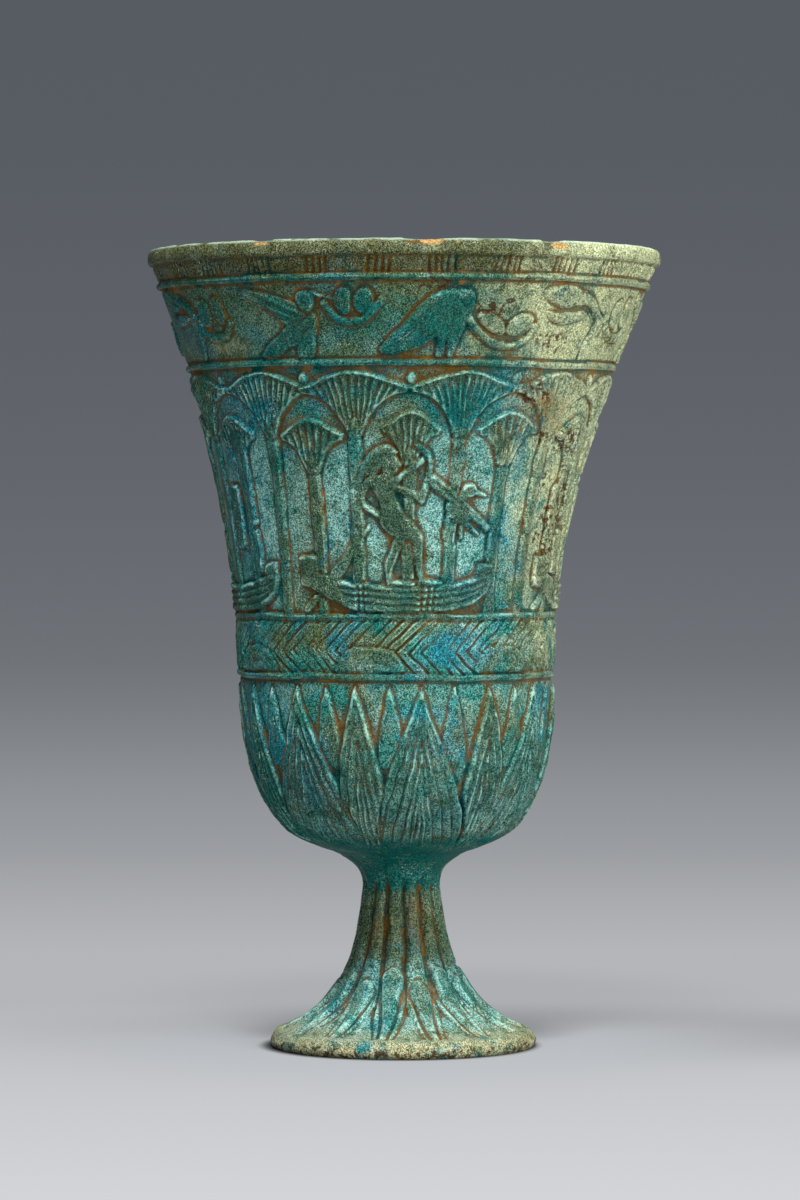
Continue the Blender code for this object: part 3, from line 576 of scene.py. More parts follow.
def water(outline):
    """Water: chevrons that point left, broken by fish, between two ridges."""
    sheet = Sheet(outline, WATER_SHEET, WATER_COLUMNS)
    x = sheet.angle[None] * WATER_SHEET
    z = sheet.z[:, None]
    middle = WATER_MIDDLE_Z + wander(sheet.angle, seed=6, size=0.25)
    strokes = round(TAU * WATER_SHEET / STROKE_PITCH)
    phase = (x + sheet.sway - np.abs(z + sheet.rise - middle)) / (TAU * WATER_SHEET) * strokes
    phase = phase + wander(sheet.angle, seed=7, size=0.22)
    fold = np.abs(phase - np.round(phase)) * STROKE_PITCH
    deep = np.clip(0.85 + uneven(sheet, seed=44, size=0.35), 0.25, 1.1)
    sheet.height = 0.3 - deep * (0.55 * bell(fold, 0.3) - 0.3 * bell(fold - 0.55, 0.22))
    for place in FISH_PLACES:
        sheet.carve(place, 8, fish)
    sheet.age()
    sheet.ridge(*WATER_RIDGE)
    sheet.ridge(*CALYX_RIDGE)
    return sheet


def leaf(heights, halves, nests, swell):
    """A calyx leaf: edges cut where the distance to its middle equals its half width at that height."""
    def motif(x, z, height):
        """Raise the leaf, cut its edge, and cut smaller leaves in it, each with a ridge beside its line."""
        tip, foot = heights[-1], heights[0]
        away = (np.abs(x) - np.interp(z, heights, halves)) * 0.94
        shown = (z < tip) & (z > foot)
        height = np.where(shown & (away < 0), swell * shoulder(away, 0.5), height)
        edge = np.maximum(away, 0) - np.minimum(away, 0) * 3
        height = score(height, edge, 0.42, 0.34, shown)
        for shrink, drop in nests:
            line = np.abs(x) - np.interp(z + drop, heights, halves) * shrink
            held = (z < tip - drop) & (z > foot)
            height = score(height, np.abs(line), 0.48, 0.22, held)
            height = height + np.where(held, 0.2 * bell(line + 0.45, 0.22), 0)
        return height
    return motif


def calyx(outline):
    """Leaves that wrap the bowl: small back tips, broad leaves, and narrow leaves in front."""
    sheet = Sheet(outline, CALYX_SHEET, CALYX_COLUMNS)
    back = leaf((52, 56, 60, 64, 66.9), (2.6, 2.4, 1.7, 0.9, 0.0), [], 0.4)
    broad = leaf((37, 40, 45, 50, 55, 60, 67), (11.2, 10.8, 8.8, 6.5, 4.2, 2.3, 0.0),
                 [(0.85, 2.5), (0.7, 6.0), (0.54, 10.0), (0.38, 14.0), (0.2, 17.5)], 0.6)
    narrow = leaf((38, 43, 47, 50, 55, 60, 67), (0.4, 2.9, 4.2, 4.1, 3.1, 2.0, 0.0),
                  [(0.74, 4.0), (0.46, 10.0), (0.2, 14.0)], 0.75)
    gaps = [place + BACK_TIP_TURN for pair in zip(BROAD_LEAVES, NARROW_LEAVES) for place in pair]
    for places, half, motif in ((gaps, 5, back), (BROAD_LEAVES, 13, broad), (NARROW_LEAVES, 6, narrow)):
        for place in places:
            sheet.carve(place * CALYX_SHEET * math.pi / 180, half, motif)
    sheet.age()
    sheet.height *= np.clip((sheet.z[:, None] - CUP_Z - 1.0) / 3.0, 0, 1)
    sheet.ridge(*CALYX_RIDGE)
    return sheet


def tick(place):
    """One short upright cut of the tick band."""
    def motif(x, z, height):
        """Cut the line, a little off the upright."""
        away = to_segment(x, z, (place, TICK_Z[0]), (place + 0.1, TICK_Z[1]))[0]
        return score(height, away, 0.5, 0.26)
    return motif


def rim(outline, outer_rows):
    """Tick band and lip: groups of short upright cuts under a groove, and a chipped rounded edge."""
    sheet = Sheet(outline, BIRD_SHEET, BIRD_COLUMNS)
    rows = np.arange(len(outline))
    pitch = TAU * BIRD_SHEET / TICK_GROUPS
    draw = np.random.default_rng(12)
    for group in range(TICK_GROUPS):
        centre = FIRST_TICKS + group * pitch + draw.uniform(-0.6, 0.6)
        count = int(draw.integers(4, 6))
        for k in range(count):
            place = (k - (count - 1) / 2) * TICK_PITCH + draw.uniform(-0.12, 0.12)
            sheet.carve(centre, 5, tick(place))
    sheet.ridge(*BIRD_RIDGE)
    groove = 0.3 * bell(sheet.z - LIP_LOW[1], 0.35)
    sheet.height = (sheet.height - groove[:, None]) * (rows < outer_rows)[:, None]
    for place, wide, deep in LIP_CHIPS:
        turn = wrapped(sheet.angle - place / BIRD_SHEET) * BIRD_SHEET
        along = np.clip(1 - (np.abs(turn + wander(sheet.angle, seed=9, size=0.5)) / wide) ** 2, 0, 1)
        over = bell((rows - outer_rows) * STEP, 1.5)
        sheet.height -= deep * over[:, None] * np.sqrt(along)[None]
    return sheet


def foot(outline):
    """Fluted stem and leaf foot: flutes open into round-topped petals with small tips between them."""
    sheet = Sheet(outline, FOOT_SHEET, FOOT_COLUMNS)
    z = sheet.z[:, None]
    radius = outline[:, :1]
    pitch = TAU / PETALS
    draw = np.random.default_rng(21)
    height = np.zeros_like(sheet.height)
    reach = np.interp(z, *FLUTE_REACH)
    half = (pitch / 2 - 0.02) * np.interp(z, *PETAL_WIDTH)
    edge_depth = np.interp(z, (8, 14), (0.75, 0.4))

    def across(angle):
        """Distance round the foot from a direction, drawn unevenly."""
        return wrapped(sheet.angle[None] - angle) * radius + sheet.sway

    for k in range(PETALS):
        place = FIRST_FLUTE + k * pitch
        top = PETAL_TOPS[k % len(PETAL_TOPS)]
        sway = draw.uniform(-0.03, 0.03)
        flute = np.abs(across(place + sway * (z - 20) / 10))
        height -= 1.15 * reach * bell(flute, 0.7 + 0.008 * (30 - z))
        dome = np.sqrt(np.clip((top - z) / PETAL_CROWN, 0, 1)) * half * radius
        beside = np.abs(across(place + pitch / 2))
        crown = z - top + PETAL_CROWN * (beside / (half * radius)) ** 2
        side = beside - dome
        away = np.where(z < top, np.sign(side) * np.minimum(np.abs(side), np.abs(crown)), crown)
        petal = (z < top) & (z > PETAL_LOW_Z)
        swell = 0.5 * depth_in(away, 0.9) ** 0.5 * np.clip((top - z) / 2.6, 0, 1) ** 0.5
        height = np.where(petal & (away < 0), np.maximum(height, swell), height)
        height = score(height, away, edge_depth, 0.4, (z < top + 1.0) & (z > PETAL_LOW_Z))
        for sign in (-1, 1):
            slip = np.interp(z, (3.6, 8.2), (0.30, 0.0)) * pitch * sign
            vee = np.abs(across(place + slip))
            height = score(height, vee, 0.5, 0.34, (z < 8.6) & (z > PETAL_LOW_Z))
    edge = bell(sheet.z - 1.5, 1.3)[:, None]
    sheet.height = blurred(height, 0.5) + edge * wander(sheet.angle, seed=17, size=0.16)[None]
    return sheet


# Layout of the drawing round the vessel: millimetres on each sheet, degrees for leaves, radians for flutes
TALL_HEADS = 12
FIRST_HEAD = -25.0
TALL_TOP = 122.0
STEM_HALF = 1.25
STEM_FOOT_Z = 80
TALL_DRIFT = (1.2, -0.5, 0.1, 0.4, -0.3, 0.6)
SMALL_TOPS = (113.8, 115.0, 115.0, 114.4)
SMALL_HALVES = (5.8, 4.9, 5.8, 5.4)
BOATS = (0.0, -47.0, 53.4, 106.8)
BOATS_WITH_MAN = (0.0, 106.8)
BOATS_WITH_SHEAVES = (-32.6, -52.0, 42.0, 60.0)
BIRD_ORDER = (flying_bird, upright_nest, rising_bird, deep_nest, brooding_bird, tipped_nest)
BIRD_PLACES = (-53.0, -40.2, -22.0, -9.2, 4.2, 18.6, 34.0, 51.0, 66.0, 80.0, 94.0, 109.0,
               123.0, -131.0, -116.0, -102.0, -88.0, -73.0)
BIRD_ROW = tuple(zip(BIRD_PLACES, 3 * BIRD_ORDER))
WATER_MIDDLE_Z = 72.9
STROKE_PITCH = 2.25
FISH_PLACES = (-30.0, -4.6, 21.0, 48.0, 74.0, -58.0, -82.0)
BROAD_LEAVES = (-38.5, 9.0, 60.0, 112.0, 164.0, 217.0, 270.0)
NARROW_LEAVES = (-14.8, 36.0, 86.0, 138.0, 190.5, 243.5, 296.0)
BACK_TIP_TURN = 12.5
TICK_GROUPS = 25
FIRST_TICKS = -36.4
TICK_PITCH = 1.15
TICK_Z = (139.3, 141.5)
LIP_CHIPS = ((-24.5, 2.2, 0.5), (3.0, 3.4, 0.7), (26.0, 2.4, 0.6), (70.0, 4.0, 0.6), (-90.0, 3.0, 0.5))
PETALS = 14
FIRST_FLUTE = 0.055
PETAL_TOPS = (13.2, 15.4, 13.6, 14.8, 13.0, 15.0)
PETAL_CROWN = 2.2
PETAL_LOW_Z = 3.4

# Share of a flute's depth and of a petal's full width, each as heights and shares
FLUTE_REACH = ((3.6, 6.0, 14.0, 29.0, 31.0), (0.0, 0.4, 1.0, 1.0, 0.0))
PETAL_WIDTH = ((3.0, 6.0, 10.0, 14.0), (0.14, 0.34, 0.72, 0.98))

# Points round each register
BIRD_COLUMNS = 1040
MARSH_COLUMNS = 860
WATER_COLUMNS = 700
CALYX_COLUMNS = 660
FOOT_COLUMNS = 420
SLIP_COLUMNS = 280

# Patches of weathering as (degrees round the axis, height, half width, half height, strength); the deep
# ring at the neck is partly painted shade
PATCHES = {
    "blue": (
        (-57, 100, 10, 24, 1.0), (-43, 117, 7, 5, 0.8), (17, 116, 8, 5, 1.0), (25, 97, 6, 10, 0.5),
        (24, 84, 8, 4, 0.8), (25, 73, 8, 5, 0.8), (-62, 56, 12, 14, 0.8), (-32, 50, 6, 12, 0.6),
        (-70, 131, 10, 6, 0.9), (-20, 128, 14, 3, 0.6), (-5, 70, 8, 3, 0.4), (12, 44, 9, 5, 0.4),
        (18, 73, 6, 3, 0.3), (18, 23, 3, 8, 0.5), (150, 100, 25, 25, 0.7), (-130, 70, 20, 20, 0.6),
        (60, 55, 8, 5, 0.5),
    ),
    "olive": (
        (-26, 98, 8, 14, 0.9), (-1, 98, 6, 12, 1.3), (-12, 116, 8, 5, 0.5), (-22, 84, 9, 4, 0.7),
        (2, 113, 4, 3, 0.8), (47, 89, 7, 13, 0.8), (-14, 74, 8, 4, 0.8), (-35, 75, 6, 3, 0.5),
        (-12, 62, 4, 5, 0.5), (25, 60, 4, 6, 0.8), (0, 142, 45, 4.5, 1.4), (-50, 142, 24, 4.5, 1.2),
        (0, 23, 30, 6.5, 1.3), (60, 23, 20, 6.5, 1.1), (-60, 23, 20, 6.5, 1.1), (180, 23, 40, 6.5, 1.1),
        (-40, 133, 10, 4, 0.5), (-100, 100, 20, 30, 0.6), (110, 120, 20, 20, 0.6), (0, 114, 5, 4, 0.7),
        (180, 60, 25, 20, 0.6), (8, 48, 6, 8, 0.4),
    ),
    "pale": (
        (64, 112, 17, 17, 1.0), (76, 92, 14, 16, 0.8), (42, 132, 17, 9, 0.8), (66, 134, 20, 12, 1.1),
        (60, 142, 22, 4, 0.8), (-52, 127, 5, 2, 0.5), (80, 74, 10, 8, 0.5), (100, 120, 20, 25, 0.8),
        (200, 130, 25, 12, 0.6),
    ),
    "frost": (
        (0, 99, 34, 13, 0.7), (-60, 99, 20, 13, 0.5), (120, 99, 40, 13, 0.6), (-150, 99, 40, 13, 0.6),
        (-48, 97, 4, 14, 1.0), (28, 101, 7, 12, 0.9), (0, 89, 8, 5, 0.7), (-24, 106, 5, 6, 0.4),
        (-35, 131, 9, 4, 0.6), (10, 53, 9, 11, 0.8), (58, 52, 14, 14, 0.7), (-12, 55, 5, 8, 0.5),
        (-14, 100, 5, 10, 0.6), (13, 104, 9, 8, 0.9), (16, 90, 6, 8, 0.7),
        (40, 73, 12, 5, 1.3), (0, 9, 30, 5, 1.0), (-30, 9, 20, 5, 0.8), (30, 9, 20, 5, 0.8),
        (120, 70, 25, 20, 0.7), (-150, 120, 25, 20, 0.7), (180, 9, 40, 5, 0.9), (90, 9, 20, 5, 0.9),
        (-90, 9, 20, 5, 0.9), (-45, 62, 5, 6, 0.3), (0, 41, 40, 5, 1.0), (70, 42, 30, 6, 0.9),
        (-60, 42, 20, 5, 0.6),
    ),
    "rust": (
        (0, 23, 40, 7, 0.15), (180, 23, 40, 7, 0.15), (0, 5, 60, 3, 0.3), (180, 5, 60, 3, 0.3),
        (46, 116, 7, 6, 0.9), (-53, 126, 5, 1.6, 0.7), (-45, 43, 7, 5, 0.5), (-24, 22, 4, 9, 0.6),
        (26, 24, 3, 9, 0.6), (60, 100, 8, 14, 0.5), (-14, 139, 12, 2, 0.4), (12, 43, 5, 5, 0.5),
    ),
    "bare": (
        (-32.6, 144.3, 2.0, 0.6, 1.1), (6, 144.5, 2.8, 0.7, 1.2), (36, 144.0, 2.3, 0.8, 1.2),
        (95, 144.3, 3, 0.8, 1.1), (-120, 144.3, 3, 0.8, 1.1), (12, 144.4, 1.4, 0.4, 0.8),
    ),
    # Deep teal; the ring round the neck at 34.2 mm, under the bowl, is deep teal glaze and also painted
    # shade.
    "deep": (
        (0, 34.2, 60, 4.2, 1.3), (180, 34.2, 60, 4.2, 1.3), (-68, 48, 9, 16, 0.9), (-6, 131, 14, 5, 0.6),
        (17, 116, 8, 5, 1.0), (-50, 134, 9, 4, 0.5), (-10, 118, 7, 4, 0.4),
    ),
    "umber": (
        (23, 133.6, 5, 2.0, 1.5), (7, 137.2, 4, 1.2, 1.3), (41, 127.6, 6, 2.2, 1.1), (58, 93, 4, 6, 1.1),
        (60, 110.5, 4.5, 2.6, 1.4), (45, 111, 1.8, 2.0, 1.5), (39, 118, 5, 3.4, 1.1), (52, 104, 3, 6, 0.9),
        (68, 128, 6, 2.4, 0.9), (-30, 39, 5, 1.5, 0.6), (0, 0.7, 60, 1.3, 1.1), (180, 0.7, 60, 1.3, 1.1),
        (73, 84, 4, 6, 0.9), (120, 110, 8, 6, 0.8), (0, 141, 30, 3, 0.3), (66, 100, 3, 9, 0.9),
    ),
}


# Meshes


def blurred(values, width):
    """Gaussian blur of a sheet that closes sideways, by one pass along each axis."""
    reach = int(3 * width) + 1
    offsets = np.arange(-reach, reach + 1)
    weights = np.exp(-0.5 * (offsets / width) ** 2)
    weights /= weights.sum()
    for axis, mode in ((0, "edge"), (1, "wrap")):
        pad = [(reach, reach) if i == axis else (0, 0) for i in (0, 1)]
        padded = np.pad(values, pad, mode=mode)
        middle = np.arange(values.shape[axis]) + reach
        values = sum(w * np.take(padded, middle + o, axis) for w, o in zip(weights, offsets))
    return values


def outward(outline):
    """Unit normals of an outline that is read upwards on its outer side."""
    along = np.gradient(outline, axis=0)
    along /= np.maximum(np.hypot(*along.T), 1e-9)[:, None]
    return np.stack([along[:, 1], -along[:, 0]], 1)


def skin(sheet, roughness):
    """Points of the carved side: outline plus carved height and unevenness along its normal."""
    height = sheet.height + uneven(sheet, seed=31, size=roughness)
    normal = outward(sheet.outline)
    return [sheet.outline[:, i:i + 1] + normal[:, i:i + 1] * height for i in (0, 1)]


def plain(points, sheet):
    """Rows of even points round the axis, as radii and heights."""
    points = np.asarray(points, float).reshape(-1, 2)
    spread = np.zeros((1, len(sheet.angle)))
    return points[:, :1] + spread, points[:, 1:] + spread


def added(name, data):
    """A new object in the scene that holds some data."""
    thing = bpy.data.objects.new(name, data)
    bpy.context.scene.collection.objects.link(thing)
    return thing


def tube(name, sheet, below=(), above=(), roughness=0.05, poles=False):
    """Closed ring of quads round the axis, or a body closed at two poles.

    Plain rows of (radius, height) lie below and above the carved side. Attributes on its points hold
    how hollow, crested and raised each place is, and how weathered.
    """
    parts = [plain(below, sheet), skin(sheet, roughness), plain(above, sheet)]
    radius, z = (np.concatenate(rows) for rows in zip(*parts))
    z = np.maximum(z, 0.0)
    relief = np.concatenate([np.zeros((len(below), len(sheet.angle))), sheet.height])
    count, columns = radius.shape
    x = radius * np.sin(sheet.angle) + lean(z)
    y = -radius * np.cos(sheet.angle)
    points = np.stack([x, y, z], -1).reshape(-1, 3) * MM
    grid = np.arange(count * columns).reshape(count, columns)
    lower = grid if not poles else grid[:-1]
    upper = np.roll(grid, -1, 0) if not poles else grid[1:]
    quads = np.stack([lower, np.roll(lower, -1, 1), np.roll(upper, -1, 1), upper], -1).reshape(-1, 4)
    loops = quads.ravel()
    starts = np.arange(len(quads)) * 4
    if poles:
        ends = np.array([[0, 0, z[0].mean()], [0, 0, z[-1].mean()]]) * MM
        ends[:, 0] += lean(ends[:, 2] / MM) * MM
        first, last = len(points), len(points) + 1
        points = np.concatenate([points, ends])
        low = np.stack([np.full(columns, first), np.roll(grid[0], -1), grid[0]], -1)
        high = np.stack([np.full(columns, last), grid[-1], np.roll(grid[-1], -1)], -1)
        fans = np.concatenate([low, high])
        starts = np.concatenate([starts, len(loops) + np.arange(len(fans)) * 3])
        loops = np.concatenate([loops, fans.ravel()])
    mesh = bpy.data.meshes.new(name)
    mesh.vertices.add(len(points))
    mesh.vertices.foreach_set("co", points.astype(np.float32).ravel())
    mesh.loops.add(len(loops))
    mesh.loops.foreach_set("vertex_index", loops.astype(np.int32))
    mesh.polygons.add(len(starts))
    mesh.polygons.foreach_set("loop_start", starts.astype(np.int32))
    mesh.update(calc_edges=True)
    mesh.validate()
    mesh.shade_smooth()
    mesh.set_sharp_from_angle(angle=math.radians(SHARP_DEGREES))
    layers = {"hollow": (blurred(relief, HOLLOW_BLUR) - relief) / HOLLOW_DEPTH,
              "crest": (relief - blurred(relief, CREST_BLUR)) / CREST_HEIGHT,
              "lift": blurred(relief, LIFT_BLUR) / LIFT_HEIGHT}
    layers.update((label, weather(label, sheet.angle, radius, z)) for label in PATCHES)
    for label, values in layers.items():
        full = np.zeros(len(points), np.float32)
        full[: relief.size] = np.clip(values[: len(relief)], 0, 1.5).ravel()
        layer = mesh.attributes.new(label, "FLOAT", "POINT")
        layer.data.foreach_set("value", full)
    return added(name, mesh)


def weather(name, angle, radius, z):
    """Strength of one kind of weathering: the sum of its patches, each a soft oval on the surface."""
    total = np.zeros(radius.shape)
    for degrees, level, wide, tall, strength in PATCHES[name]:
        turn = wrapped(angle - math.radians(degrees))
        total += strength * np.exp(-((turn * radius / wide) ** 2) - ((z - level) / tall) ** 2)
    return total


def inner_wall(z):
    """Points on the inside of the cup at some heights: the outer wall less its thickness."""
    wall = np.concatenate([CALYX_CURVE, WATER_CURVE[1:], MARSH_CURVE[1:], BIRD_CURVE[1:], [LIP_LOW]])
    return np.stack([np.interp(z, wall[:, 1], wall[:, 0]) - WALL, z], 1)


def between(points, low, high):
    """The stretch of an outline between two heights, its ends cut exactly at them."""
    inside = points[(points[:, 1] > low) & (points[:, 1] < high)]
    ends = [(np.interp(z, points[:, 1], points[:, 0]), z) for z in (low, high)]
    return np.concatenate([ends[:1], inside, ends[1:]])


# Carved rings of the cup as (name, register, outline, lowest and highest height)
RINGS = (
    ("bird_frieze", birds, BIRD_CURVE, MARSH_TOP[1], BIRD_TOP[1]),
    ("marsh_lower", marsh, MARSH_CURVE, WATER_TOP[1], MARSH_SPLIT_Z),
    ("marsh_upper", marsh, MARSH_CURVE, MARSH_SPLIT_Z, MARSH_TOP[1]),
    ("water_band", water, WATER_CURVE, CALYX_TOP[1], WATER_TOP[1]),
    ("calyx_tips", calyx, CALYX_CURVE, CALYX_SPLIT_Z, CALYX_TOP[1]),
)


def make_rings():
    """The registers from the birds down to the leaf tips, each a closed ring with a plain inner side."""
    pieces = []
    for name, register, points, low, high in RINGS:
        sheet = register(evenly(between(points, low, high), STEP))
        pieces.append(tube(name, sheet, above=inner_wall(np.linspace(sheet.z[-1], sheet.z[0], 7))))
    return pieces


def make_rim():
    """Tick band and lip: up the outside, over the rounded edge and down to the inner wall."""
    outside = evenly(np.array([BIRD_TOP, TICK_BEND, LIP_LOW]), STEP)
    half = WALL / 2
    turn = np.linspace(-0.7, math.pi, 28)
    across, up = np.cos(turn), np.sin(turn)
    lip = np.stack([LIP_RADIUS - half + half * np.sign(across) * np.abs(across) ** 0.7,
                    RIM_Z - LIP_HEIGHT + LIP_HEIGHT * np.sign(up) * np.abs(up) ** 0.8], 1)
    edge = evenly(np.concatenate([outside[-1:], lip]), STEP)
    outer_rows = len(outside) + int(len(edge) * 0.42)
    sheet = rim(np.concatenate([outside, edge[1:]]), outer_rows)
    inner = inner_wall(np.linspace(sheet.z[-1] - 0.3, BIRD_TOP[1], 8))
    inner[:, 0] += np.linspace(0.4, 0, 8)
    return tube("rim_lip", sheet, above=inner, roughness=0.04)


def make_calyx_bowl():
    """The bowl under the tips: underside, carved wall, inner wall and rounded floor, closed on the axis."""
    sheet = calyx(evenly(between(CALYX_CURVE, COLLAR[1], CALYX_SPLIT_Z), STEP))
    under = [(0.6, CUP_Z), (SLIP_RADIUS * 0.6, CUP_Z)]
    wall = inner_wall(np.linspace(CALYX_SPLIT_Z, FLOOR_Z + 4.0, 6))
    wide = wall[-1, 0]
    floor = curve((wall[-1], (wide * 0.95, FLOOR_Z + 1.5), (wide * 0.55, FLOOR_Z), (0.6, FLOOR_Z)), 14)
    return tube("calyx_bowl", sheet, under, np.concatenate([wall, floor[1:]]), poles=True)


def make_foot():
    """Stem and foot, read upwards: hollow underside, resting ring, edge, leaf foot, flutes and collar."""
    edge = rounded([(FOOT_RADIUS - 0.5, 0.0), (FOOT_RADIUS - 0.1, 0.5), (FOOT_RADIUS, 1.4), FOOT_BROW])
    sheet = foot(evenly(np.concatenate([edge[:-1], FOOT_CURVE, COLLAR_CURVE[1:]]), STEP))
    third = FOOT_HOLLOW_RADIUS / 3
    hollow = curve(((0.3, FOOT_HOLLOW_DEPTH), (third, FOOT_HOLLOW_DEPTH), (third, FOOT_HOLLOW_DEPTH / 4),
                    (FOOT_HOLLOW_RADIUS, 0.0)), 24)
    top = [(SLIP_RADIUS * 0.6, FOOT_TOP_Z), (0.5, FOOT_TOP_Z)]
    return tube("leaf_foot", sheet, hollow, top, roughness=0.06, poles=True)


def make_slip():
    """Luting slip: the cap over the tenon, and a thin bead that carries the neck's curve over the joint."""
    joint = rounded([(SLIP_RADIUS - 0.9, FOOT_TOP_Z - 0.5), (SLIP_RADIUS + 0.05, FOOT_TOP_Z),
                     (SLIP_RADIUS + 0.75, FOOT_TOP_Z + 0.5), (COLLAR[0] + 0.1, COLLAR[1] + 0.05),
                     (COLLAR[0] - 0.7, COLLAR[1] + 0.4)])
    cap = [(0.4, SLIP_LOW_Z + 0.1), (6.0, SLIP_LOW_Z + 0.05)]
    roof = [(5.4, CUP_Z), (5.4, SLIP_TOP_Z), (0.4, SLIP_TOP_Z)]
    sheet = Sheet(np.concatenate([cap, joint, roof]), SLIP_RADIUS, SLIP_COLUMNS)
    return tube("luting_bead", sheet, roughness=0.02, poles=True)


# Materials


class Nodes:
    """Short names for the shader nodes that the materials use."""

    def __init__(self, name):
        """Start a new material with a plain surface and its object coordinates."""
        self.material = bpy.data.materials.new(name)
        self.material.use_nodes = True
        self.tree = self.material.node_tree
        self.shader = self.tree.nodes["Principled BSDF"]
        place = self.tree.nodes.new("ShaderNodeTexCoord")
        self.place = place.outputs["Object"]

    def put(self, value, socket):
        """Link a socket, or set a plain number or colour."""
        if isinstance(value, bpy.types.NodeSocket):
            self.tree.links.new(value, socket)
        else:
            socket.default_value = value

    def math(self, operation, first, second=0.0):
        """One arithmetic step on numbers."""
        node = self.tree.nodes.new("ShaderNodeMath")
        node.operation = operation
        self.put(first, node.inputs[0])
        self.put(second, node.inputs[1])
        return node.outputs[0]

    def times(self, first, second):
        """The product of two numbers."""
        return self.math("MULTIPLY", first, second)

    def plus(self, first, second):
        """The sum of two numbers."""
        return self.math("ADD", first, second)

    def most(self, first, second):
        """The greater of two numbers."""
        return self.math("MAXIMUM", first, second)

    def left(self, share, part=1.0):
        """1 less a part of a share."""
        return self.math("SUBTRACT", 1.0, self.times(share, part))

    def far(self, first, second):
        """The distance that two lengths at right angles make."""
        return self.math("SQRT", self.plus(self.times(first, first), self.times(second, second)))

    def surface(self, label, value):
        """Link or set one input of the surface."""
        self.put(value, self.shader.inputs[label])

    def step(self, value, low, high):
        """0 below low, 1 above high, smooth between them."""
        node = self.tree.nodes.new("ShaderNodeMapRange")
        node.interpolation_type = "SMOOTHSTEP"
        self.put(value, node.inputs["Value"])
        node.inputs["From Min"].default_value = low
        node.inputs["From Max"].default_value = high
        return node.outputs["Result"]

    def noise(self, scale, detail, rough, warp=0.0):
        """Cloudy noise on the object's own coordinates, with its cells about 1 / scale metres wide."""
        node = self.tree.nodes.new("ShaderNodeTexNoise")
        self.put(self.place, node.inputs["Vector"])
        node.inputs["Scale"].default_value = scale
        node.inputs["Detail"].default_value = detail
        node.inputs["Roughness"].default_value = rough
        node.inputs["Distortion"].default_value = warp
        return node.outputs["Fac"]

    def blend(self, share, first, second):
        """Mix two colours by a share."""
        node = self.tree.nodes.new("ShaderNodeMix")
        node.data_type = "RGBA"
        self.put(share, node.inputs["Factor"])
        for value, label in ((first, "A"), (second, "B")):
            socket = [s for s in node.inputs if s.name == label and s.type == "RGBA"][0]
            self.put((*value, 1.0) if isinstance(value, tuple) else value, socket)
        return [s for s in node.outputs if s.type == "RGBA"][0]

    def ramp(self, value, stops):
        """Faintly blue grey that follows a number through stops given as (number, grey)."""
        node = self.tree.nodes.new("ShaderNodeValToRGB")
        self.put(value, node.inputs[0])
        while len(node.color_ramp.elements) < len(stops):
            node.color_ramp.elements.new(0.5)
        for element, (place, grey) in zip(node.color_ramp.elements, stops):
            element.position = place
            element.color = (grey - 0.010, grey, grey + 0.016, 1)
        return node.outputs["Color"]

    def layer(self, name):
        """A number stored on the piece's points."""
        node = self.tree.nodes.new("ShaderNodeAttribute")
        node.attribute_name = name
        return node.outputs["Fac"]

    def axes(self):
        """The object coordinates as three numbers."""
        node = self.tree.nodes.new("ShaderNodeSeparateXYZ")
        self.put(self.place, node.inputs[0])
        return node.outputs


# Colours of the glaze, most as a dark and a light tone of its speckle
TEAL = ((0.002, 0.024, 0.021), (0.058, 0.225, 0.190))
OLIVE = ((0.009, 0.014, 0.005), (0.120, 0.148, 0.068))
BLUE = ((0.001, 0.023, 0.038), (0.034, 0.235, 0.300))
FROST = ((0.045, 0.120, 0.112), (0.350, 0.540, 0.490))
DEEP = ((0.001, 0.028, 0.026), (0.010, 0.135, 0.117))
PALE = ((0.200, 0.220, 0.130), (0.660, 0.700, 0.480))
LIP = ((0.012, 0.012, 0.005), (0.120, 0.116, 0.056))
PASTE = ((0.210, 0.135, 0.070), (0.460, 0.350, 0.210))
SHADE = ((0.006, 0.020, 0.014), (0.050, 0.095, 0.066))
# Pale salt colour, also used for the painted highlight on the lip's top
SALT_AND_HIGHLIGHT = (0.52, 0.62, 0.50)
SAND = ((0.130, 0.115, 0.058), (0.520, 0.500, 0.340))
CREAM = (0.42, 0.66, 0.57)
CHALK = (0.78, 0.78, 0.62)
RUST = (0.20, 0.118, 0.054)
BROWN = (0.085, 0.046, 0.018)
UMBER = (0.040, 0.017, 0.007)

# Heights in metres where a register's look starts, is full, starts to fade and ends
FRIEZE_LOOK = (0.1232, 0.1240, 0.1390, 0.1405)
MARSH_LOOK = (0.0790, 0.0800, 0.1228, 0.1236)
TICK_LOOK = (0.1391, 0.1399, 0.1444, 0.1452)
# Heights where the painted highlight along the lip's top starts and is full
LIP_HIGHLIGHT_LOOK = (0.1444, 0.1449)


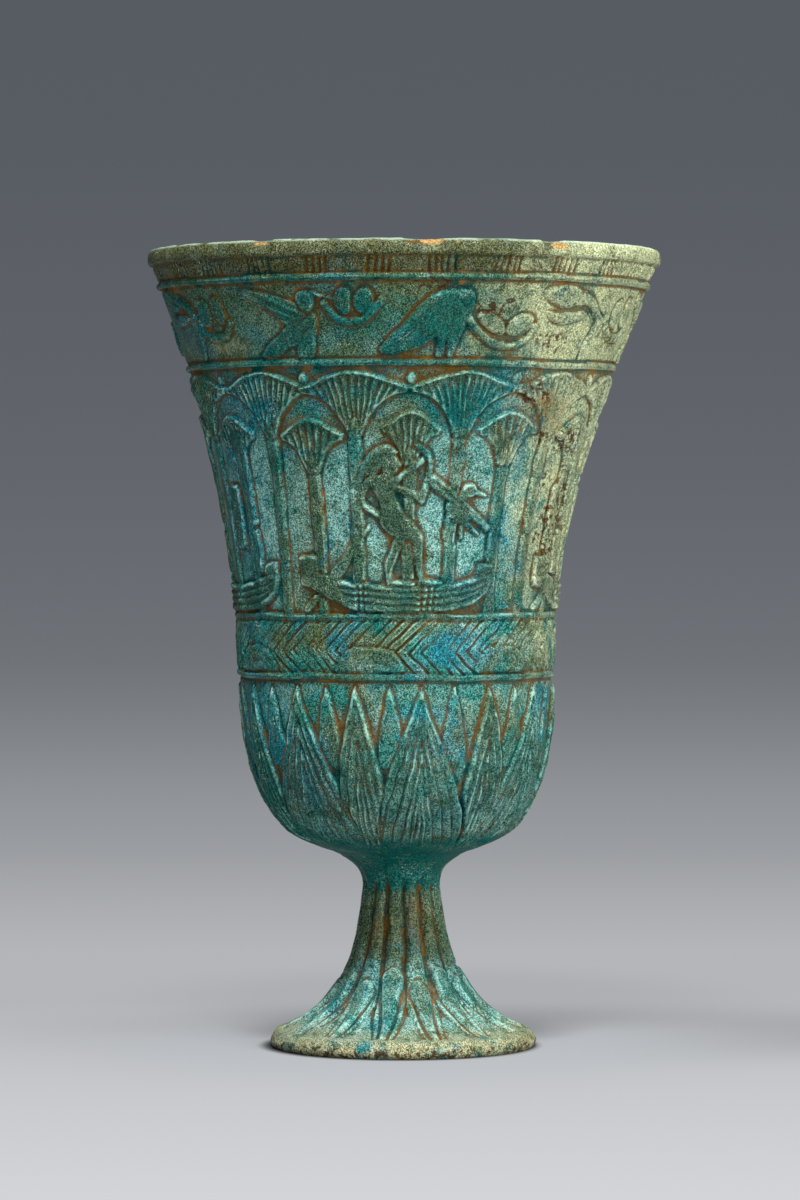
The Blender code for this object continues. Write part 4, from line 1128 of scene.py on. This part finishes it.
def weathered_glaze(name, sandy_low=0.0):
    """Sugary faience glaze: frosted ground, teal, olive and blue carving, a pale side, rust in hollows."""
    n = Nodes(name)
    z = n.axes()[2]
    hollow, crest, lift = n.layer("hollow"), n.layer("crest"), n.layer("lift")
    grain = n.noise(4200, 2.5, 0.75)
    fleck = n.noise(1900, 4.0, 0.75)
    patch = n.noise(330, 5.0, 0.62, 0.4)
    drift = n.noise(110, 4.0, 0.6, 0.6)
    cloud = n.noise(85, 4.0, 0.6, 0.8)
    speck = n.step(n.plus(n.times(grain, 0.7), n.times(fleck, 0.3)), 0.46, 0.57)

    def zone(label, low, high):
        """One kind of weathering with its border broken up by noise."""
        frayed = n.plus(n.layer(label), n.times(n.math("SUBTRACT", patch, 0.5), 1.3))
        frayed = n.plus(frayed, n.times(n.math("SUBTRACT", drift, 0.5), 0.9))
        return n.step(frayed, low, high)

    def band(start, full, fade, end):
        """1 between two heights, soft at both ends."""
        return n.times(n.step(z, start, full), n.step(z, end, fade))

    def over(share, strength, colour, tones):
        """Lay a speckled pair of tones, or one plain colour, over the glaze."""
        paired = isinstance(tones, tuple) and isinstance(tones[0], tuple)
        tone = n.blend(speck, *tones) if paired else tones
        return n.blend(n.times(share, strength), colour, tone)

    # Glaze colours, darker on the raised carving
    olive = n.most(zone("olive", 0.2, 0.75), n.times(n.step(drift, 0.44, 0.58), 0.9))
    colour = over(olive, 0.95, n.blend(speck, *TEAL), OLIVE)
    blue = n.most(zone("blue", 0.35, 0.8), n.times(n.step(cloud, 0.47, 0.36), 0.75))
    colour = over(blue, 0.9, colour, BLUE)
    frieze = band(*FRIEZE_LOOK)
    raised = n.step(lift, 0.4, 1.0)
    colour = over(n.times(n.left(frieze), raised), 0.75, colour, SHADE)
    colour = over(n.times(frieze, n.step(lift, 0.5, 0.1)), 0.5, colour, OLIVE)
    carved = n.times(frieze, n.step(lift, 0.15, 0.6))
    colour = over(carved, 0.35, over(carved, 0.55, colour, SHADE), DEEP)

    # Frost on the ground between the carving
    ground = n.plus(n.times(n.step(lift, 0.45, 0.12), 0.65), 0.35)
    rime = n.times(ground, n.plus(n.times(n.layer("frost"), 0.75), 0.22))
    rime = n.times(rime, n.step(n.plus(patch, n.times(fleck, 0.5)), 0.52, 0.92))
    spared = n.most(n.times(frieze, 0.6), n.times(band(*MARSH_LOOK), raised))
    rime = n.times(rime, n.left(spared, 0.8))
    colour = over(n.math("MINIMUM", rime, 1.0), 0.95, colour, FROST)

    # Deep, dark and pale zones
    colour = over(zone("deep", 0.25, 0.9), 0.9, colour, DEEP)
    ticks = band(*TICK_LOOK)
    colour = over(ticks, 0.75, colour, LIP)
    pale = n.times(zone("pale", 0.05, 1.15), n.step(n.plus(fleck, patch), 0.66, 1.10))
    colour = over(n.times(pale, n.left(lift, 0.4)), 1.0, colour, PALE)
    if sandy_low:
        sandy = n.times(n.step(z, sandy_low, sandy_low * 0.3), n.step(patch, 0.30, 0.56))
        colour = over(sandy, 0.8, colour, SAND)

    # Crests rubbed pale and given a painted highlight, a painted highlight along the lip's top, and salt
    # crystals
    # Crests worn pale, which also stands in for a painted highlight along the raised edges.
    crest_wear_and_highlight = n.times(n.step(crest, 0.75, 1.45), n.step(fleck, 0.34, 0.54))
    crest_wear_and_highlight = n.times(crest_wear_and_highlight, n.step(n.plus(patch, n.times(frieze, -0.12)), 0.38, 0.60))
    crest_wear_and_highlight = n.times(crest_wear_and_highlight, n.left(ticks, 0.8))
    colour = over(crest_wear_and_highlight, 0.55, colour, n.blend(pale, CREAM, CHALK))
    # Painted highlight: a pale line along the top of the lip, broken up in patches.
    lip_top_highlight = n.times(n.step(z, *LIP_HIGHLIGHT_LOOK), n.step(patch, 0.32, 0.52))
    colour = over(lip_top_highlight, 0.45, colour, SALT_AND_HIGHLIGHT)
    crystal = n.step(n.noise(3900, 1.5, 0.6), 0.56, 0.66)
    salt = n.times(crystal, n.step(n.noise(210, 5.0, 0.7), 0.46, 0.66))
    colour = over(salt, 0.6, colour, SALT_AND_HIGHLIGHT)

    # Darker colour in the cuts, rust, stains and bare paste
    cut = n.step(hollow, 0.22, 0.75)
    colour = over(cut, 0.8, colour, n.blend(n.step(drift, 0.40, 0.56), DEEP[0], BROWN))
    settle = n.times(n.step(hollow, 0.34, 0.80), n.step(n.noise(190, 6.0, 0.75), 0.53, 0.65))
    settle = n.most(settle, n.times(zone("rust", 0.5, 1.0), n.step(fleck, 0.44, 0.58)))
    colour = over(settle, 0.78, colour, RUST)
    colour = over(n.step(n.noise(1500, 1.0, 0.5), 0.73, 0.77), 0.75, colour, RUST)
    stain = n.times(zone("umber", 0.45, 0.85), n.step(n.noise(900, 3.0, 0.7), 0.50, 0.57))
    colour = over(stain, 0.9, colour, UMBER)
    bare = n.times(zone("bare", 0.5, 0.9), n.step(fleck, 0.28, 0.46))
    colour = over(bare, 1.0, colour, PASTE)

    vivid = n.tree.nodes.new("ShaderNodeHueSaturation")
    vivid.inputs["Saturation"].default_value = 1.3
    n.put(colour, vivid.inputs["Color"])
    n.surface("Base Color", vivid.outputs["Color"])
    gloss = n.plus(n.times(fleck, 0.5), 0.30)
    n.surface("Roughness", n.math("MINIMUM", n.plus(gloss, n.times(hollow, 0.25)), 0.95))
    n.surface("Specular IOR Level", 0.12)
    bump = n.tree.nodes.new("ShaderNodeBump")
    bump.inputs["Strength"].default_value = 0.55
    bump.inputs["Distance"].default_value = 0.00016
    n.put(n.plus(grain, n.times(fleck, 1.2)), bump.inputs["Height"])
    n.surface("Normal", bump.outputs["Normal"])
    return n.material


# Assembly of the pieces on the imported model


def dress(piece, material, node):
    """Give a piece its glaze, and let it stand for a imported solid."""
    piece.data.materials.append(material)
    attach(piece, "root")
    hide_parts(node)


def make_chalice():
    """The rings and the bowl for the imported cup, the foot for the foot, and the bead for the slip."""
    cup_glaze = weathered_glaze("cup_glaze")
    foot_glaze = weathered_glaze("foot_glaze", sandy_low=0.0062)
    for piece in [make_rim(), *make_rings(), make_calyx_bowl()]:
        dress(piece, cup_glaze, "cup")
    dress(make_foot(), foot_glaze, "foot")
    dress(make_slip(), cup_glaze, "luting_slip")


# Studio


# Glow of the paper as (share of its depth, grey)
PAPER_DEPTH = ((0.0, 0.565), (0.041, 0.490), (0.079, 0.400), (0.11, 0.400), (0.197, 0.295),
               (0.489, 0.157), (0.8, 0.097))

# Radii of the painted contact shadow on the floor at the foot's edge and of the shade round it, and the
# oval of the painted cast shade
PAINTED_CONTACT_SHADOW = (0.0236, 0.0266)
SHADE_ROUND = (0.026, 0.085)
PAINTED_SHADE_MIDDLE = (0.045, 0.02)
PAINTED_SHADE_HALF = (0.13, 0.055)
BLACK = (0.0, 0.0, 0.0)


def make_stage():
    """Floor that sweeps up into a backdrop and glows: pale near the chalice, grey behind it, with a painted
    contact shadow at the foot and a painted cast shade to its right.
    """
    bend = curve(((0.9, 0.0), (2.6, 0.0), (3.2, 0.3), (3.3, 2.8)), 40)
    path = np.concatenate([[(-3.0, 0.0), (-0.5, 0.0), (0.3, 0.0)], bend])
    across = np.linspace(-4, 4, 3)
    points = [(x, y, z) for y, z in path for x in across]
    faces = [(3 * i + j, 3 * i + j + 1, 3 * i + j + 4, 3 * i + j + 3)
             for i in range(len(path) - 1) for j in (0, 1)]
    mesh = bpy.data.meshes.new("studio_sweep")
    mesh.from_pydata(points, [], faces)
    mesh.shade_smooth()
    sweep = added("studio_sweep", mesh)
    n = Nodes("studio_paper")
    x, y, z = n.axes()
    depth = n.ramp(n.math("DIVIDE", n.plus(y, 0.2), 3.5), PAPER_DEPTH)
    glow = n.blend(n.step(z, 0.3, 1.1), depth, (0.068, 0.077, 0.092))
    away = n.far(x, y)
    clear = n.step(away, *SHADE_ROUND)
    # Painted contact shadow: a thin ring at the foot's edge where the floor turns black in both colour and
    # glow.
    under = n.step(away, *PAINTED_CONTACT_SHADOW)
    tone = n.blend(clear, (0.20, 0.206, 0.216), (0.04, 0.041, 0.043))
    n.surface("Base Color", n.blend(under, (0.03, 0.03, 0.03), tone))
    # Painted cast shade: the floor's glow darkened in a soft oval to the right of the foot.
    beside, behind = (n.math("DIVIDE", n.math("SUBTRACT", side, middle), half)
                      for side, middle, half in zip((x, y), PAINTED_SHADE_MIDDLE, PAINTED_SHADE_HALF))
    painted_cast_shade = n.step(n.far(beside, behind), 1.15, 0.2)
    glow = n.blend(n.times(painted_cast_shade, 0.24), glow, BLACK)
    glow = n.blend(clear, (0.175, 0.180, 0.188), glow)
    n.surface("Emission Color", n.blend(under, BLACK, glow))
    n.surface("Emission Strength", 1.0)
    n.surface("Roughness", 0.9)
    n.surface("Specular IOR Level", 0.1)
    sweep.data.materials.append(n.material)


def make_lamp(name, place, target, size, power):
    """A rectangular soft box at a place, turned towards a target."""
    data = bpy.data.lights.new(name, "AREA")
    data.shape = "RECTANGLE"
    data.size, data.size_y = size
    data.energy = power
    lamp = added(name, data)
    lamp.location = place
    toward = np.array(target) - np.array(place)
    lamp.rotation_euler = (math.atan2(math.hypot(*toward[:2]), -toward[2]), 0,
                           math.atan2(toward[1], toward[0]) - math.pi / 2)


def make_light():
    """Key box above the front, a soft overhead box, boxes at the right and low, and a grey surround."""
    middle = (0, 0, 0.08)
    make_lamp("key_box", (-0.04, -0.52, 1.0), middle, (0.22, 0.18), 15.5)
    make_lamp("overhead_box", (0.0, -0.10, 1.0), middle, (1.2, 0.9), 4.5)
    make_lamp("right_box", (0.80, -0.60, 0.36), middle, (0.3, 0.6), 8.4)
    make_lamp("low_box", (0.15, -0.9, 0.06), (0, 0, 0.05), (0.5, 0.3), 4.4)
    world = bpy.data.worlds.new("studio_air")
    world.use_nodes = True
    air = world.node_tree.nodes["Background"]
    air.inputs["Color"].default_value = (0.5, 0.52, 0.55, 1)
    air.inputs["Strength"].default_value = 0.14
    bpy.context.scene.world = world


# Camera: place in metres, focal length in millimetres, and dip in degrees
CAMERA_PLACE = (0, -0.884, 0.0994)
CAMERA_LENS = 145.3
CAMERA_DIP = 1.167


def make_camera():
    """Long lens a little above the middle of the chalice, tipped slightly down."""
    data = bpy.data.cameras.new("camera")
    data.sensor_width = 36
    data.lens = CAMERA_LENS
    data.clip_start = 0.01
    camera = added("camera", data)
    camera.location = CAMERA_PLACE
    camera.rotation_euler = (math.radians(90 - CAMERA_DIP), 0, 0)
    bpy.context.scene.camera = camera


make_camera()
make_chalice()
make_stage()
make_light()
bpy.context.scene.view_settings.view_transform = "Standard"
